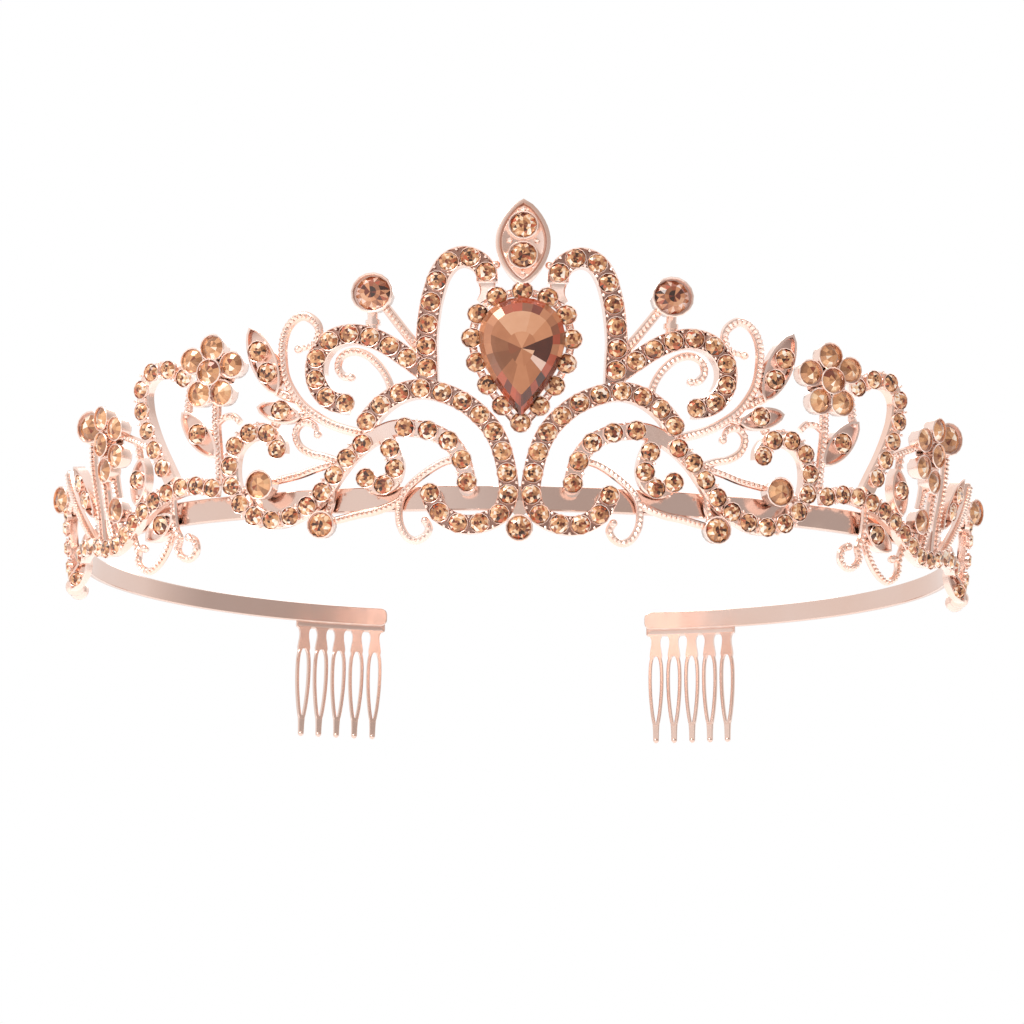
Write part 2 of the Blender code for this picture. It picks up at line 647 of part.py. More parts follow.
def wings():
    inner = wing(INNER_SCROLLS, INNER_WIRES, INNER_LEAVES, SINGLE_STONES_INNER,
                 ("post_stone", "large_scroll_stone", "hanging_stone"), INNER_PADS)
    mirror(fuse("inner_wing_casting", inner, "cast_metal"))
    outer = wing(OUTER_SCROLLS, OUTER_WIRES, OUTER_LEAVES, SINGLE_STONES_OUTER,
                 ("outer_cup_stone", "end_cup_stone"), OUTER_PADS)
    for flower in (INNER_FLOWER, OUTER_FLOWER):
        outer.append(turned(flower["centre"], [(flower["reach"] * 0.9, -0.5),
                                               (flower["reach"] * 0.9, 0.1)], 10))
        outer += [cup(spot, radius, FLOWER_FRONT, 6) for spot, radius in flower_spots(flower)]
    outer += [turned(spot, [(0.7, -0.9), (1.35, 0.0), (1.0, 0.9)]) for spot in
              ((80.4, -4.6), (86.4, -4.2))]
    mirror(fuse("outer_wing_casting", outer, "cast_metal"))


def stones():
    for scrolls, rows in ((INNER_SCROLLS, INNER_ROWS), (OUTER_SCROLLS, OUTER_ROWS)):
        for name, (scroll, first, last, count) in rows.items():
            row = stone_row(scrolls[scroll], first, last, count)
            mirror(add_object(name, row, "small_crystal"))
    for singles in (SINGLE_STONES_INNER, SINGLE_STONES_OUTER):
        for name, (spot, radius, seat) in singles.items():
            mirror(add_object(name, stone_shell(spot, radius, seat), "small_crystal"))
    for name, spots in PAIRED_STONES.items():
        paired_stones(name, spots)
    flower_stones("inner_flower_stones", INNER_FLOWER)
    flower_stones("outer_flower_stones", OUTER_FLOWER)


def settle():
    """Move everything so that the origin is under the middle, at the height of the lowest tip."""
    corners = [v.co for obj in bpy.context.scene.objects for v in obj.data.vertices]
    low = min(c.z for c in corners)
    middle = (min(c.y for c in corners) + max(c.y for c in corners)) / 2
    for obj in bpy.context.scene.objects:
        obj.data.transform(Matrix.Translation((0.0, -middle, -low)))


def main():
    for obj in list(bpy.data.objects):
        bpy.data.objects.remove(obj)
    headband()
    comb()
    centre()
    wings()
    stones()
    settle()


main()
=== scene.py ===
# Bridal tiara: the looks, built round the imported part.
# The ornament is drawn flat in millimetres, X along the band from the front centre, Y up and Z
# outwards, and is then bent round the band. The right half is made and the left is its mirror.
import json
import math
import random

import bmesh
import bpy
import numpy as np
from mathutils import Matrix, Vector


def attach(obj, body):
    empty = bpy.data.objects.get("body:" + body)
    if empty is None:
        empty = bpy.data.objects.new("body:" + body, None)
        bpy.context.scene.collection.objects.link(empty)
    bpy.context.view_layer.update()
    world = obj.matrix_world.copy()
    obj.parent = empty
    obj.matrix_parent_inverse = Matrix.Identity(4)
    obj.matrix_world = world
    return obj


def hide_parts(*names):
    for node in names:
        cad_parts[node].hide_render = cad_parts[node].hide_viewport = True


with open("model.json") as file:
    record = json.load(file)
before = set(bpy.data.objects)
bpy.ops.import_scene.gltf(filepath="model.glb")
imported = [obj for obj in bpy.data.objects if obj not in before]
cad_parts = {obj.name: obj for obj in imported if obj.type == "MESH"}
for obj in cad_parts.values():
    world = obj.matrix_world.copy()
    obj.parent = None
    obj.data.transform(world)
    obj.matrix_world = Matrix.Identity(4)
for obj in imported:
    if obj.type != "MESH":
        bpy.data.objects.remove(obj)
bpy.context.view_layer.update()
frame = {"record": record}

slotOf = {part["node"]: part["material_slot"] for part in frame["record"]["subparts"]}
chance = random.Random(11)
print("frame loaded:", len(slotOf), "nodes")

band = {
    "radii": (78.0, 47.0, 50.0), "headings": (27.0, 104.0, 168.0),   # three arcs a side
    "height": 3.0, "thickness": 0.8, "endCorner": 1.1, "edge": 0.16,
    "standOff": 1.35, "lean": math.radians(8.0), "drawIn": 0.015, "drawnTo": 42.0,
    "frontY": -45.67, "middleZ": 20.3,
    "step": 1.6,
}


# bending, selecting and joining

def bandLength():
    turns = zip(band["radii"], (0.0,) + band["headings"], band["headings"])
    return sum(radius * math.radians(end - start) for radius, start, end in turns)


def bandPlan(s):
    # place and heading in plan at distances s along the band
    side = np.where(s < 0, -1.0, 1.0)
    rest = np.abs(s)
    x, y, heading = np.zeros_like(rest), np.zeros_like(rest), np.zeros_like(rest)
    last = 0.0
    for radius, turn in zip(band["radii"], band["headings"]):
        run = np.minimum(rest, radius * (math.radians(turn) - last))
        after = heading + run / radius
        x += radius * (np.sin(after) - np.sin(heading))
        y += radius * (np.cos(heading) - np.cos(after))
        rest = rest - run
        heading = after
        last = math.radians(turn)
    return side * x, y, side * heading


def bendRoundBand(piece, onBand=False):
    # flat drawing in millimetres to its place on the band in metres
    off = 0.0 if onBand else band["standOff"]
    lean = 0.0 if onBand else band["lean"]
    flat = np.empty(len(piece.data.vertices) * 3)
    piece.data.vertices.foreach_get("co", flat)
    s, up, depth = flat.reshape(-1, 3).T
    if not onBand:
        s = s - band["drawIn"] * np.clip(s, -band["drawnTo"], band["drawnTo"])
    x, y, heading = bandPlan(s)
    out = off + up * math.sin(lean) + depth * math.cos(lean)
    height = up * math.cos(lean) - depth * math.sin(lean)
    bent = np.stack((x + out * np.sin(heading), y - out * np.cos(heading) + band["frontY"],
                     height + band["middleZ"]), 1)
    piece.data.vertices.foreach_set("co", (bent * 0.001).ravel())
    piece.data.update()


def editMode():
    bpy.ops.object.mode_set(mode="EDIT")


def objectMode():
    bpy.ops.object.mode_set(mode="OBJECT")


def deselectAll():
    if bpy.context.mode != "OBJECT":
        objectMode()
    bpy.ops.object.select_all(action="DESELECT")


def activate(piece):
    deselectAll()
    piece.select_set(True)
    bpy.context.view_layer.objects.active = piece


def newest():
    # the primitive just added, with its place put in its mesh
    piece = bpy.context.object
    piece.data.transform(piece.matrix_basis)
    piece.matrix_basis = Matrix.Identity(4)
    return piece


def pickFaces(piece, wanted):
    bpy.ops.mesh.select_all(action="DESELECT")
    bpy.ops.mesh.select_mode(type="FACE")
    mesh = bmesh.from_edit_mesh(piece.data)
    for face in mesh.faces:
        if wanted(face):
            face.select_set(True)
    bmesh.update_edit_mesh(piece.data)


def facesUp(face):
    return face.normal.z > 0.9


def facesDown(face):
    return face.normal.z < -0.9


def facesLeaning(face):
    return 0.2 < face.normal.z < 0.9


def drawIn(share, centre=(0.0, 0.0, 0.0)):
    bpy.ops.transform.resize(value=(share, share, 1.0), center_override=centre)


def extrudeUp(rise, share=1.0, centre=(0.0, 0.0, 0.0)):
    # what is picked rises, and may draw in about a centre
    bpy.ops.mesh.extrude_region_move(TRANSFORM_OT_translate={"value": (0, 0, rise)})
    if share != 1.0:
        drawIn(share, centre)


def insetBy(*steps):
    for thickness, depth in steps:
        bpy.ops.mesh.inset(thickness=thickness, depth=depth)


def closeUp(piece, within=0.0005):
    # merge doubles, then turn every face outwards
    activate(piece)
    editMode()
    bpy.ops.mesh.select_all(action="SELECT")
    bpy.ops.mesh.remove_doubles(threshold=within)
    bpy.ops.mesh.normals_make_consistent(inside=False)
    objectMode()
    return piece


def applyAll(piece):
    activate(piece)
    for modifier in list(piece.modifiers):
        bpy.ops.object.modifier_apply(modifier=modifier.name)


def twinOf(piece):
    twin = piece.copy()
    twin.data = piece.data.copy()
    bpy.context.scene.collection.objects.link(twin)
    return twin


def placing(spot, depth=0.0, turn=0.0, size=1.0, tilt=(0.0, 0.0)):
    return (Matrix.Translation((spot[0], spot[1], depth)) @ Matrix.Rotation(turn, 4, "Z")
            @ Matrix.Rotation(tilt[0], 4, "X") @ Matrix.Rotation(tilt[1], 4, "Y")
            @ Matrix.Scale(size, 4))


def copyTo(model, spot, depth=0.0, turn=0.0, size=1.0):
    twin = twinOf(model)
    twin.data.transform(placing(spot, depth, turn, size))
    return twin


def joinPieces(pieces):
    deselectAll()
    for piece in pieces:
        piece.select_set(True)
    bpy.context.view_layer.objects.active = pieces[0]
    if len(pieces) > 1:
        bpy.ops.object.join()
    return pieces[0]


def smoothMetal(piece, angle=38.0):
    activate(piece)
    bpy.ops.object.shade_smooth_by_angle(angle=math.radians(angle))


def finishPiece(piece, name, node):
    piece.name = piece.data.name = name
    piece.data.materials.clear()
    piece.data.materials.append(finishes[slotOf[node]])
    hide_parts(node)
    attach(piece, "root")


def finishPair(piece, name, node):
    # the left piece is the right one's mirror image
    left = twinOf(piece)
    left.data.transform(Matrix.Scale(-1.0, 4, (1.0, 0.0, 0.0)))
    left.data.flip_normals()
    finishPiece(piece, name + "Right", node + "_right")
    finishPiece(left, name + "Left", node + "_left")


# smooth lines and what runs along them

def smoothLine(points, steps=8):
    pts = [Vector(p) for p in points]
    pts = [pts[0] * 2 - pts[1]] + pts + [pts[-1] * 2 - pts[-2]]
    line = []
    for a, b, c, d in zip(pts, pts[1:], pts[2:], pts[3:]):
        for k in range(steps):
            t = k / steps
            line.append(0.5 * (2 * b + (c - a) * t + (2 * a - 5 * b + 4 * c - d) * t * t
                               + (3 * b - a - 3 * c + d) * t ** 3))
    return line + [pts[-2]]


def lineLength(line):
    return sum((b - a).length for a, b in zip(line, line[1:]))


def alongLine(line, distance):
    # point and direction at a distance along a line
    for a, b in zip(line, line[1:]):
        step = (b - a).length
        if distance <= step:
            break
        distance -= step
    return a.lerp(b, min(distance / step, 1.0)), (b - a).normalized()


def lineCurve(points, closed, widths=None):
    curve = bpy.data.curves.new("line", "CURVE")
    curve.dimensions = "3D"
    curve.twist_mode = "Z_UP"
    spline = curve.splines.new("POLY")
    spline.points.add(len(points) - 1)
    for k, point in enumerate(points):
        spline.points[k].co = (point[0], point[1], 0.0, 1.0)
        spline.points[k].radius = widths[k] if widths else 1.0
    spline.use_cyclic_u = closed
    piece = bpy.data.objects.new("line", curve)
    bpy.context.scene.collection.objects.link(piece)
    return piece


def sweep(line, outline, closed=False, widths=None):
    # a strip with the given outline along a line, closed at its ends
    path = lineCurve(line, closed, widths)
    shape = lineCurve(outline, True)
    path.data.bevel_mode = "OBJECT"
    path.data.bevel_object = shape
    path.data.use_fill_caps = not closed
    activate(path)
    bpy.ops.object.convert(target="MESH")
    bpy.data.objects.remove(shape)
    return closeUp(bpy.context.object)


def roundOutline(halfWidth, back, front, sides=8):
    middle, half = (back + front) / 2, (front - back) / 2
    angles = [2 * math.pi * k / sides for k in range(sides)]
    return [(halfWidth * math.cos(a), middle + half * math.sin(a)) for a in angles]


def channelOutline(half, v):
    # a trough: plain walls outside, a fine lip on each side, the bed of the stones between
    lip, edge = v["lip"], v["edge"]
    return [(-half, v["back"] + edge), (-half + edge, v["back"]), (half - edge, v["back"]),
            (half, v["back"] + edge), (half, v["front"] - edge), (half - lip / 2, v["front"]),
            (half - lip, v["front"] - edge), (half - lip, v["bed"]),
            (-half + lip, v["bed"]), (-half + lip, v["front"] - edge),
            (-half + lip / 2, v["front"]), (-half, v["front"] - edge)]


def plainOutline(half, back, front, edge=0.2):
    return [(-half, back + edge), (-half + edge, back), (half - edge, back), (half, back + edge),
            (half, front - edge), (half - edge, front), (-half + edge, front), (-half, front - edge)]


# finishes

def fromScreen(*rgb):
    return tuple(((c / 255 + 0.055) / 1.055) ** 2.4 if c > 10 else c / 3294.6 for c in rgb) + (1.0,)


def newGroup(name, inputs, outputs):
    # an input has a colour or a number, and an output has its kind
    group = bpy.data.node_groups.new(name, "ShaderNodeTree")
    for label, value in inputs.items():
        kind = "NodeSocketColor" if isinstance(value, tuple) else "NodeSocketFloat"
        group.interface.new_socket(label, in_out="INPUT", socket_type=kind).default_value = value
    for label, kind in outputs.items():
        group.interface.new_socket(label, in_out="OUTPUT", socket_type="NodeSocket" + kind)
    return group, group.nodes.new("NodeGroupInput").outputs, group.nodes.new("NodeGroupOutput")


def setInputs(tree, node, inputs):
    # a socket takes a value or another node's output
    for socket, value in inputs.items():
        if isinstance(value, bpy.types.NodeSocket):
            tree.links.new(value, node.inputs[socket])
        else:
            node.inputs[socket].default_value = value


def addNode(tree, kind, inputs=None, **settings):
    node = tree.nodes.new("ShaderNode" + kind)
    for label, value in settings.items():
        setattr(node, label, value)
    setInputs(tree, node, inputs or {})
    return node


def mixTone(tree, share, plain, other, **settings):
    mix = addNode(tree, "Mix", data_type="RGBA", **settings)
    setInputs(tree, mix, {"Factor": share, 6: plain, 7: other})
    return mix.outputs[2]


def platingGroup():
    # thin plating: slow drifts of tone, a warmer cast where it is thicker, fine polishing marks
    group, given, out = newGroup(
        "platingTone", {"Plate": (0.9, 0.6, 0.5, 1.0), "Warm": (0.9, 0.5, 0.3, 1.0), "Patch Scale": 90.0,
                        "Patch Amount": 0.5, "Polish": 0.12, "Polish Spread": 0.12},
        {"Color": "Color", "Roughness": "Float", "Height": "Float"})
    place = addNode(group, "TexCoord").outputs["Object"]
    patches = addNode(group, "TexNoise", {"Vector": place, "Scale": given["Patch Scale"], "Detail": 3.0})
    spread = addNode(group, "MapRange", {"Value": patches.outputs["Fac"], "From Min": 0.38,
                                         "From Max": 0.66})
    share = addNode(group, "Math", {0: spread.outputs["Result"], 1: given["Patch Amount"]},
                    operation="MULTIPLY")
    marks = addNode(group, "TexNoise", {"Vector": place, "Scale": 2600.0, "Detail": 2.0}).outputs["Fac"]
    rough = addNode(group, "Math", {0: marks, 1: given["Polish Spread"], 2: given["Polish"]},
                    operation="MULTIPLY_ADD")
    tone = mixTone(group, share.outputs["Value"], given["Plate"], given["Warm"])
    setInputs(group, out, {"Color": tone, "Roughness": rough.outputs["Value"], "Height": marks})
    return group


def paintedHighlightAndShadeGroup():
    # painted light on the plating: a painted highlight makes edges pale, and a painted shade makes corners
    # and recesses darker
    group, given, out = newGroup(
        "paintedHighlightAndShade", {"Color": (0.9, 0.6, 0.5, 1.0), "Painted Highlight": (1.0, 0.9, 0.8, 1.0),
                          "Painted Shade": (0.3, 0.15, 0.1, 1.0), "Painted Highlight Amount": 0.5, "Painted Shade Amount": 0.6},
        {"Color": "Color"})
    shape = addNode(group, "NewGeometry").outputs["Pointiness"]
    tone = given["Color"]
    # the edge mask paints a highlight, the corner mask paints shade in the hollows
    for label, low, high in (("Painted Highlight", 0.53, 0.62), ("Painted Shade", 0.48, 0.40)):
        found = addNode(group, "MapRange", {"Value": shape, "From Min": low, "From Max": high})
        share = addNode(group, "Math", {0: found.outputs["Result"], 1: given[label + " Amount"]},
                        operation="MULTIPLY")
        tone = mixTone(group, share.outputs["Value"], tone, given[label])
    setInputs(group, out, {"Color": tone})
    return group


# painted light on the facets, from the darkest shaded facet to the brightest highlight
paintedFacetTones = ((0.0, (62, 36, 22)), (0.14, (122, 58, 36)), (0.28, (200, 96, 60)), (0.42, (146, 98, 66)),
              (0.56, (196, 136, 94)), (0.70, (228, 170, 124)), (0.84, (250, 212, 174)),
              (1.0, (255, 242, 232)))


def facetPaintedLightGroup():
    # painted light and shade on each facet, standing in for the light that the foil behind it throws back
    group, given, out = newGroup("facetPaintedLight", {"Tint": (1.0, 1.0, 1.0, 1.0), "Cloud": 0.15},
                                 {"Color": "Color", "Roughness": "Float"})
    place = addNode(group, "TexCoord").outputs["Object"]
    cloud = addNode(group, "TexNoise", {"Vector": place, "Scale": 900.0}).outputs["Fac"]
    shift = addNode(group, "Math", {0: cloud, 1: 0.5}, operation="SUBTRACT")
    facet = addNode(group, "Attribute", attribute_name="facet")
    moved = addNode(group, "Math", {0: shift.outputs["Value"], 1: given["Cloud"], 2: facet.outputs["Fac"]},
                    operation="MULTIPLY_ADD")
    # the ramp turns each facet's value into its painted light or shade colour
    ramp = addNode(group, "ValToRGB", {"Fac": moved.outputs["Value"]})
    stops = ramp.color_ramp.elements
    stops.remove(stops[1])
    stops[0].color = fromScreen(*paintedFacetTones[0][1])
    for spot, tone in paintedFacetTones[1:]:
        stops.new(spot).color = fromScreen(*tone)
    glass = mixTone(group, 1.0, ramp.outputs["Color"], given["Tint"], blend_type="MULTIPLY")
    rough = addNode(group, "MapRange", {"Value": cloud, "To Min": 0.03, "To Max": 0.12})
    setInputs(group, out, {"Color": glass, "Roughness": rough.outputs["Result"]})
    return group


def newMaterial(name):
    material = bpy.data.materials.new(name)
    material.use_nodes = True
    return material, material.node_tree, material.node_tree.nodes["Principled BSDF"]


def metalFinish(name, bumpStrength, platingValues, paintedLightValues):
    material, tree, shader = newMaterial(name)
    plating = addNode(tree, "Group", platingValues, node_tree=groups["plating"]).outputs
    # painted highlight on edges and painted shade in corners
    edges = addNode(tree, "Group", dict(paintedLightValues, Color=plating["Color"]), node_tree=groups["edges"])
    bump = addNode(tree, "Bump", {"Strength": bumpStrength, "Distance": 0.00002,
                                  "Height": plating["Height"]})
    setInputs(tree, shader, {"Metallic": 1.0, "Base Color": edges.outputs["Color"],
                             "Roughness": plating["Roughness"], "Normal": bump.outputs["Normal"]})
    return material


def crystalFinish(name, v):
    material, tree, shader = newMaterial(name)
    shade = addNode(tree, "Group", {"Tint": v["tint"], "Cloud": v["cloud"]}, node_tree=groups["facets"])
    setInputs(tree, shader, {"Metallic": v["foil"], "IOR": 1.6, "Coat Weight": v["coat"],
                             "Coat Roughness": 0.02, "Base Color": shade.outputs["Color"],
                             "Roughness": shade.outputs["Roughness"]})
    return material


groups = {"plating": platingGroup(), "edges": paintedHighlightAndShadeGroup(), "facets": facetPaintedLightGroup()}
finishes = {
    "cast_metal": metalFinish(
        "castRoseGold", 0.25,
        {"Plate": fromScreen(247, 221, 211), "Warm": fromScreen(240, 194, 170),
         "Patch Scale": 160.0, "Patch Amount": 0.6, "Polish": 0.12, "Polish Spread": 0.16},
        # pale painted highlight on edges, dark painted shade in corners
        {"Painted Highlight": fromScreen(255, 232, 220), "Painted Shade": fromScreen(132, 74, 54),
         "Painted Highlight Amount": 0.5, "Painted Shade Amount": 0.9}),
    "band_metal": metalFinish(
        "stripRoseGold", 0.08,
        {"Plate": fromScreen(226, 200, 189), "Warm": fromScreen(222, 186, 168),
         "Patch Scale": 60.0, "Patch Amount": 0.4, "Polish": 0.10, "Polish Spread": 0.08},
        # pale painted highlight on edges, dark painted shade in corners
        {"Painted Highlight": fromScreen(250, 222, 208), "Painted Shade": fromScreen(170, 120, 100),
         "Painted Highlight Amount": 0.3, "Painted Shade Amount": 0.3}),
    "small_crystal": crystalFinish("champagneGlass", {
        "tint": (0.98, 0.97, 0.92, 1.0), "cloud": 0.22, "foil": 0.35, "coat": 0.6}),
    "large_crystal": crystalFinish("peachGlass", {
        "tint": (0.80, 0.67, 0.66, 1.0), "cloud": 0.06, "foil": 0.30, "coat": 0.8}),
}
print("finishes made")


# stones, collets and beads: each is made once, for a stone of unit radius, and copied

brilliant = {"sides": 8, "girdle": 1.04, "top": 0.60, "crown": 0.42, "skirt": 0.12, "star": 0.27,
             "swell": 0.05}
largeBrilliant = dict(brilliant, sides=12, girdle=1.0, top=0.56, crown=0.40, star=0.22, swell=0.03)
pointed = {"sides": 11, "girdle": 1.0, "top": 0.52, "crown": 0.30, "skirt": 0.12, "point": 0.12}

# how far out a facet lies, the painted shades it may have, and the painted light that the lit side adds
brilliantShades = ((0.30, (0.0, 0.14, 0.14, 0.42, 0.70), 0.0),
                   (0.62, (0.0, 0.42, 0.56, 0.56, 0.70, 0.92), 0.10),
                   (2.0, (0.14, 0.42, 0.52, 0.63, 0.70, 0.84, 1.0), 0.14))
# painted light: a dark shaded wedge, a bright lit one across from it, and peach between them
pointedShades = ((-1.0, 1.0, (0.14, 0.42, 0.45)), (2.7, 3.7, (0.84, 0.74, 0.96)),
                 (-1.0, 7.0, (0.48, 0.56, 0.62, 0.70)))
innerTier = {"reach": 0.5, "turn": 0.9}


def startStone(v):
    # a crown on a short skirt, with its girdle at depth 0, left in edit mode
    deselectAll()
    bpy.ops.mesh.primitive_cone_add(vertices=v["sides"], radius1=v["girdle"], radius2=v["top"],
                                    depth=v["crown"], location=(0, 0, v["crown"] / 2))
    stone = newest()
    editMode()
    pickFaces(stone, facesDown)
    extrudeUp(-v["skirt"])
    return stone


def endStone(stone):
    objectMode()
    stone.data.attributes.new("facet", "FLOAT", "FACE")
    return stone


def makeBrilliant(v):
    # a crown of small facets round a starred table
    stone = startStone(v)
    pickFaces(stone, facesLeaning)
    bpy.ops.mesh.poke(offset=v["swell"])
    pickFaces(stone, facesUp)
    insetBy((v["star"], 0.0))
    bpy.ops.mesh.poke()
    return endStone(stone)


def makePointed(v):
    # two tiers of facets that rise to one point
    stone = startStone(v)
    pickFaces(stone, facesUp)
    bpy.ops.mesh.poke(offset=v["point"])
    return endStone(stone)


def shadePointed(face, lean):
    angle = math.atan2(face.center.y, face.center.x) - lean
    if math.hypot(face.center.x, face.center.y) < innerTier["reach"]:
        angle += innerTier["turn"]
    angle %= 2 * math.pi
    return chance.choice(next(tones for start, end, tones in pointedShades if start < angle < end))


def shadeBrilliant(face, lean):
    reach = math.hypot(face.center.x, face.center.y)
    tones, lit = next(shades[1:] for shades in brilliantShades if reach < shades[0])
    # painted light: facets on the side towards lean are lighter
    return chance.choice(tones) + lit * math.cos(math.atan2(face.center.y, face.center.x) - lean)


def shadeFacets(stone, shadeOf):
    # painted light and shade on the facets, broken as foiled glass shows them; lean turns where the
    # painted light falls
    lean = chance.uniform(0, 2 * math.pi)
    shades = [min(max(shadeOf(face, lean), 0.0), 1.0) for face in stone.data.polygons]
    stone.data.attributes["facet"].data.foreach_set("value", shades)


collet = {"sides": 12, "outer": 1.12, "wall": 0.03, "lip": 0.05, "rise": 0.04, "top": 0.84,
          "back": 0.30, "foot": 0.84, "seat": 0.30, "step": 0.02, "bowl": ()}
deepCollet = dict(collet, sides=16, outer=1.13, wall=0.05, lip=0.06, top=0.92, rise=0.06, back=-0.35,
                  foot=0.93, seat=0.25, bowl=((0.35, 0.84), (0.25, 0.62)))


def makeCollet(v):
    # a cup with a crowned lip, a recessed seat, and a foot that may be rounded like a bowl
    deselectAll()
    bpy.ops.mesh.primitive_cylinder_add(vertices=v["sides"], radius=v["outer"], depth=v["top"] - v["back"],
                                        location=(0, 0, (v["top"] + v["back"]) / 2))
    cup = newest()
    editMode()
    pickFaces(cup, facesDown)
    drawIn(v["foot"])
    for drop, share in v["bowl"]:
        extrudeUp(-drop, share)
    pickFaces(cup, facesUp)
    insetBy((v["wall"], v["rise"]), (v["lip"], -v["step"]), (v["step"], -v["seat"]))
    objectMode()
    return cup


def makeBead():
    deselectAll()
    bpy.ops.mesh.primitive_ico_sphere_add(subdivisions=1, radius=1.0)
    return newest()


def makeBall():
    deselectAll()
    bpy.ops.mesh.primitive_uv_sphere_add(segments=12, ring_count=8, radius=1.0)
    return newest()


models = {
    "stone": makeBrilliant(brilliant), "largeStone": makeBrilliant(largeBrilliant),
    "pointed": makePointed(pointed), "collet": makeCollet(collet), "deepCollet": makeCollet(deepCollet),
    "bead": makeBead(), "ball": makeBall(),
}
print("stones, collets and beads made")


# setting stones

rowSetting = {"radius": 1.09, "depth": 0.80, "wobble": 0.05, "grain": 0.21, "grainReach": 0.92,
              "grainDepth": 0.84}
channel = {"back": -0.7, "front": 0.88, "bed": 0.5, "lip": 0.18, "edge": 0.09}
plainStrip = {"back": -0.7, "front": 0.58}


def setStone(spot, radius, depth, model="stone"):
    # shaded while it lies at the origin, then set with a chance turn and a slight tilt
    stone = copyTo(models[model], (0.0, 0.0))
    shadeFacets(stone, shadePointed if model == "pointed" else shadeBrilliant)
    turn = chance.uniform(0, math.pi)
    most = rowSetting["wobble"]
    tilt = (chance.uniform(-most, most), chance.uniform(-most, most))
    stone.data.transform(placing(spot, depth, turn, radius, tilt))
    return stone


def setRow(line, first, last, count):
    # stones in collets along a line, with a grain on each side of every gap
    v = rowSetting
    pitch = (lineLength(line) - first - last) / (count - 1)
    stones, metal = [], []
    for k in range(count):
        spot, ahead = alongLine(line, first + k * pitch)
        turn = math.atan2(ahead.y, ahead.x)
        stones.append(setStone(spot, v["radius"], v["depth"]))
        metal.append(copyTo(models["collet"], spot, 0.0, turn, v["radius"]))
        if k < count - 1:
            spot, ahead = alongLine(line, first + (k + 0.5) * pitch)
            across = Vector((-ahead.y, ahead.x))
            for side in (-1, 1):
                metal.append(copyTo(models["bead"], spot + across * side * v["grainReach"],
                                    v["grainDepth"], turn, v["grain"]))
    return stones, metal


# wires, leaves and pins

# grain sizes are for a wire of the unit radius, and swell is how soon a tapered wire is full
milgrain = {"weight": 1.14, "pitch": 0.60, "bead": 0.27, "depth": 0.30, "flat": 0.55, "unit": 0.42,
            "swell": 2.5}
leafDish = {"back": -0.5, "front": 0.74, "rim": 0.30, "slope": 0.20, "sunk": 0.50}
dishRim = {"outer": 0.4, "crown": 0.07, "dip": -0.02, "ridge": 0.12}


def beadedWire(points, radius, taper):
    radius = radius * milgrain["weight"]
    line = smoothLine(points, 5)
    widths = [min(1.0, 1.0 - taper + milgrain["swell"] * k / (len(line) - 1)) for k in range(len(line))]
    parts = [sweep(line, roundOutline(radius, -radius, radius * milgrain["flat"]), widths=widths)]
    total = lineLength(line)
    count = max(2, int(total / milgrain["pitch"]))
    grow = radius / milgrain["unit"]
    for k in range(count):
        spot, ahead = alongLine(line, total * (k + 0.5) / count)
        parts.append(copyTo(models["bead"], spot, milgrain["depth"] * grow,
                            math.atan2(ahead.y, ahead.x), milgrain["bead"] * grow))
    return parts


def leafOutline(tipA, tipB, width, points=12, sharpness=0.6):
    a, b = Vector(tipA), Vector(tipB)
    across = Vector((a.y - b.y, b.x - a.x)).normalized()
    outline = []
    for side in (1, -1):
        for k in range(points):
            t = k / points if side == 1 else 1 - k / points
            outline.append(a.lerp(b, t) + across * side * width / 2 * math.sin(math.pi * t) ** sharpness)
    return outline


def cutPlate(outline, back, front):
    # a flat plate of any outline, with its front face left selected
    turn = sum(a[0] * b[1] - b[0] * a[1] for a, b in zip(outline, outline[1:] + outline[:1]))
    if turn < 0:
        outline = outline[::-1]
    deselectAll()
    bpy.ops.mesh.primitive_circle_add(vertices=len(outline), radius=1.0, fill_type="NGON")
    plate = newest()
    for vertex, point in zip(plate.data.vertices, outline):
        vertex.co = (point[0], point[1], back)
    plate.data.update()
    editMode()
    bpy.ops.mesh.select_all(action="SELECT")
    extrudeUp(front - back)
    objectMode()
    return plate


def makeDish(outline, v):
    # a plate with a crowned rim and a sunk floor
    dish = cutPlate(outline, v["back"], v["front"])
    outer = v["rim"] * dishRim["outer"]
    editMode()
    insetBy((outer, dishRim["crown"]), (v["rim"] - outer, dishRim["dip"]), (v["slope"], -v["sunk"]))
    if "inner" in v:
        insetBy((v["inner"], dishRim["ridge"]), (v["inner"], -dishRim["ridge"]))
    objectMode()
    return closeUp(dish)


def turnedPin(spot, low, high, depth, waist, sides=10):
    # a short round post between two radii
    deselectAll()
    bpy.ops.mesh.primitive_cone_add(vertices=sides, radius1=low, radius2=high, depth=waist,
                                    location=(spot[0], spot[1], depth))
    return newest()


def roundBar(ends, radius):
    return sweep([Vector(p) for p in ends], roundOutline(radius, -radius, radius, 12))


print("tools ready")


# the drawing of the right half, in millimetres

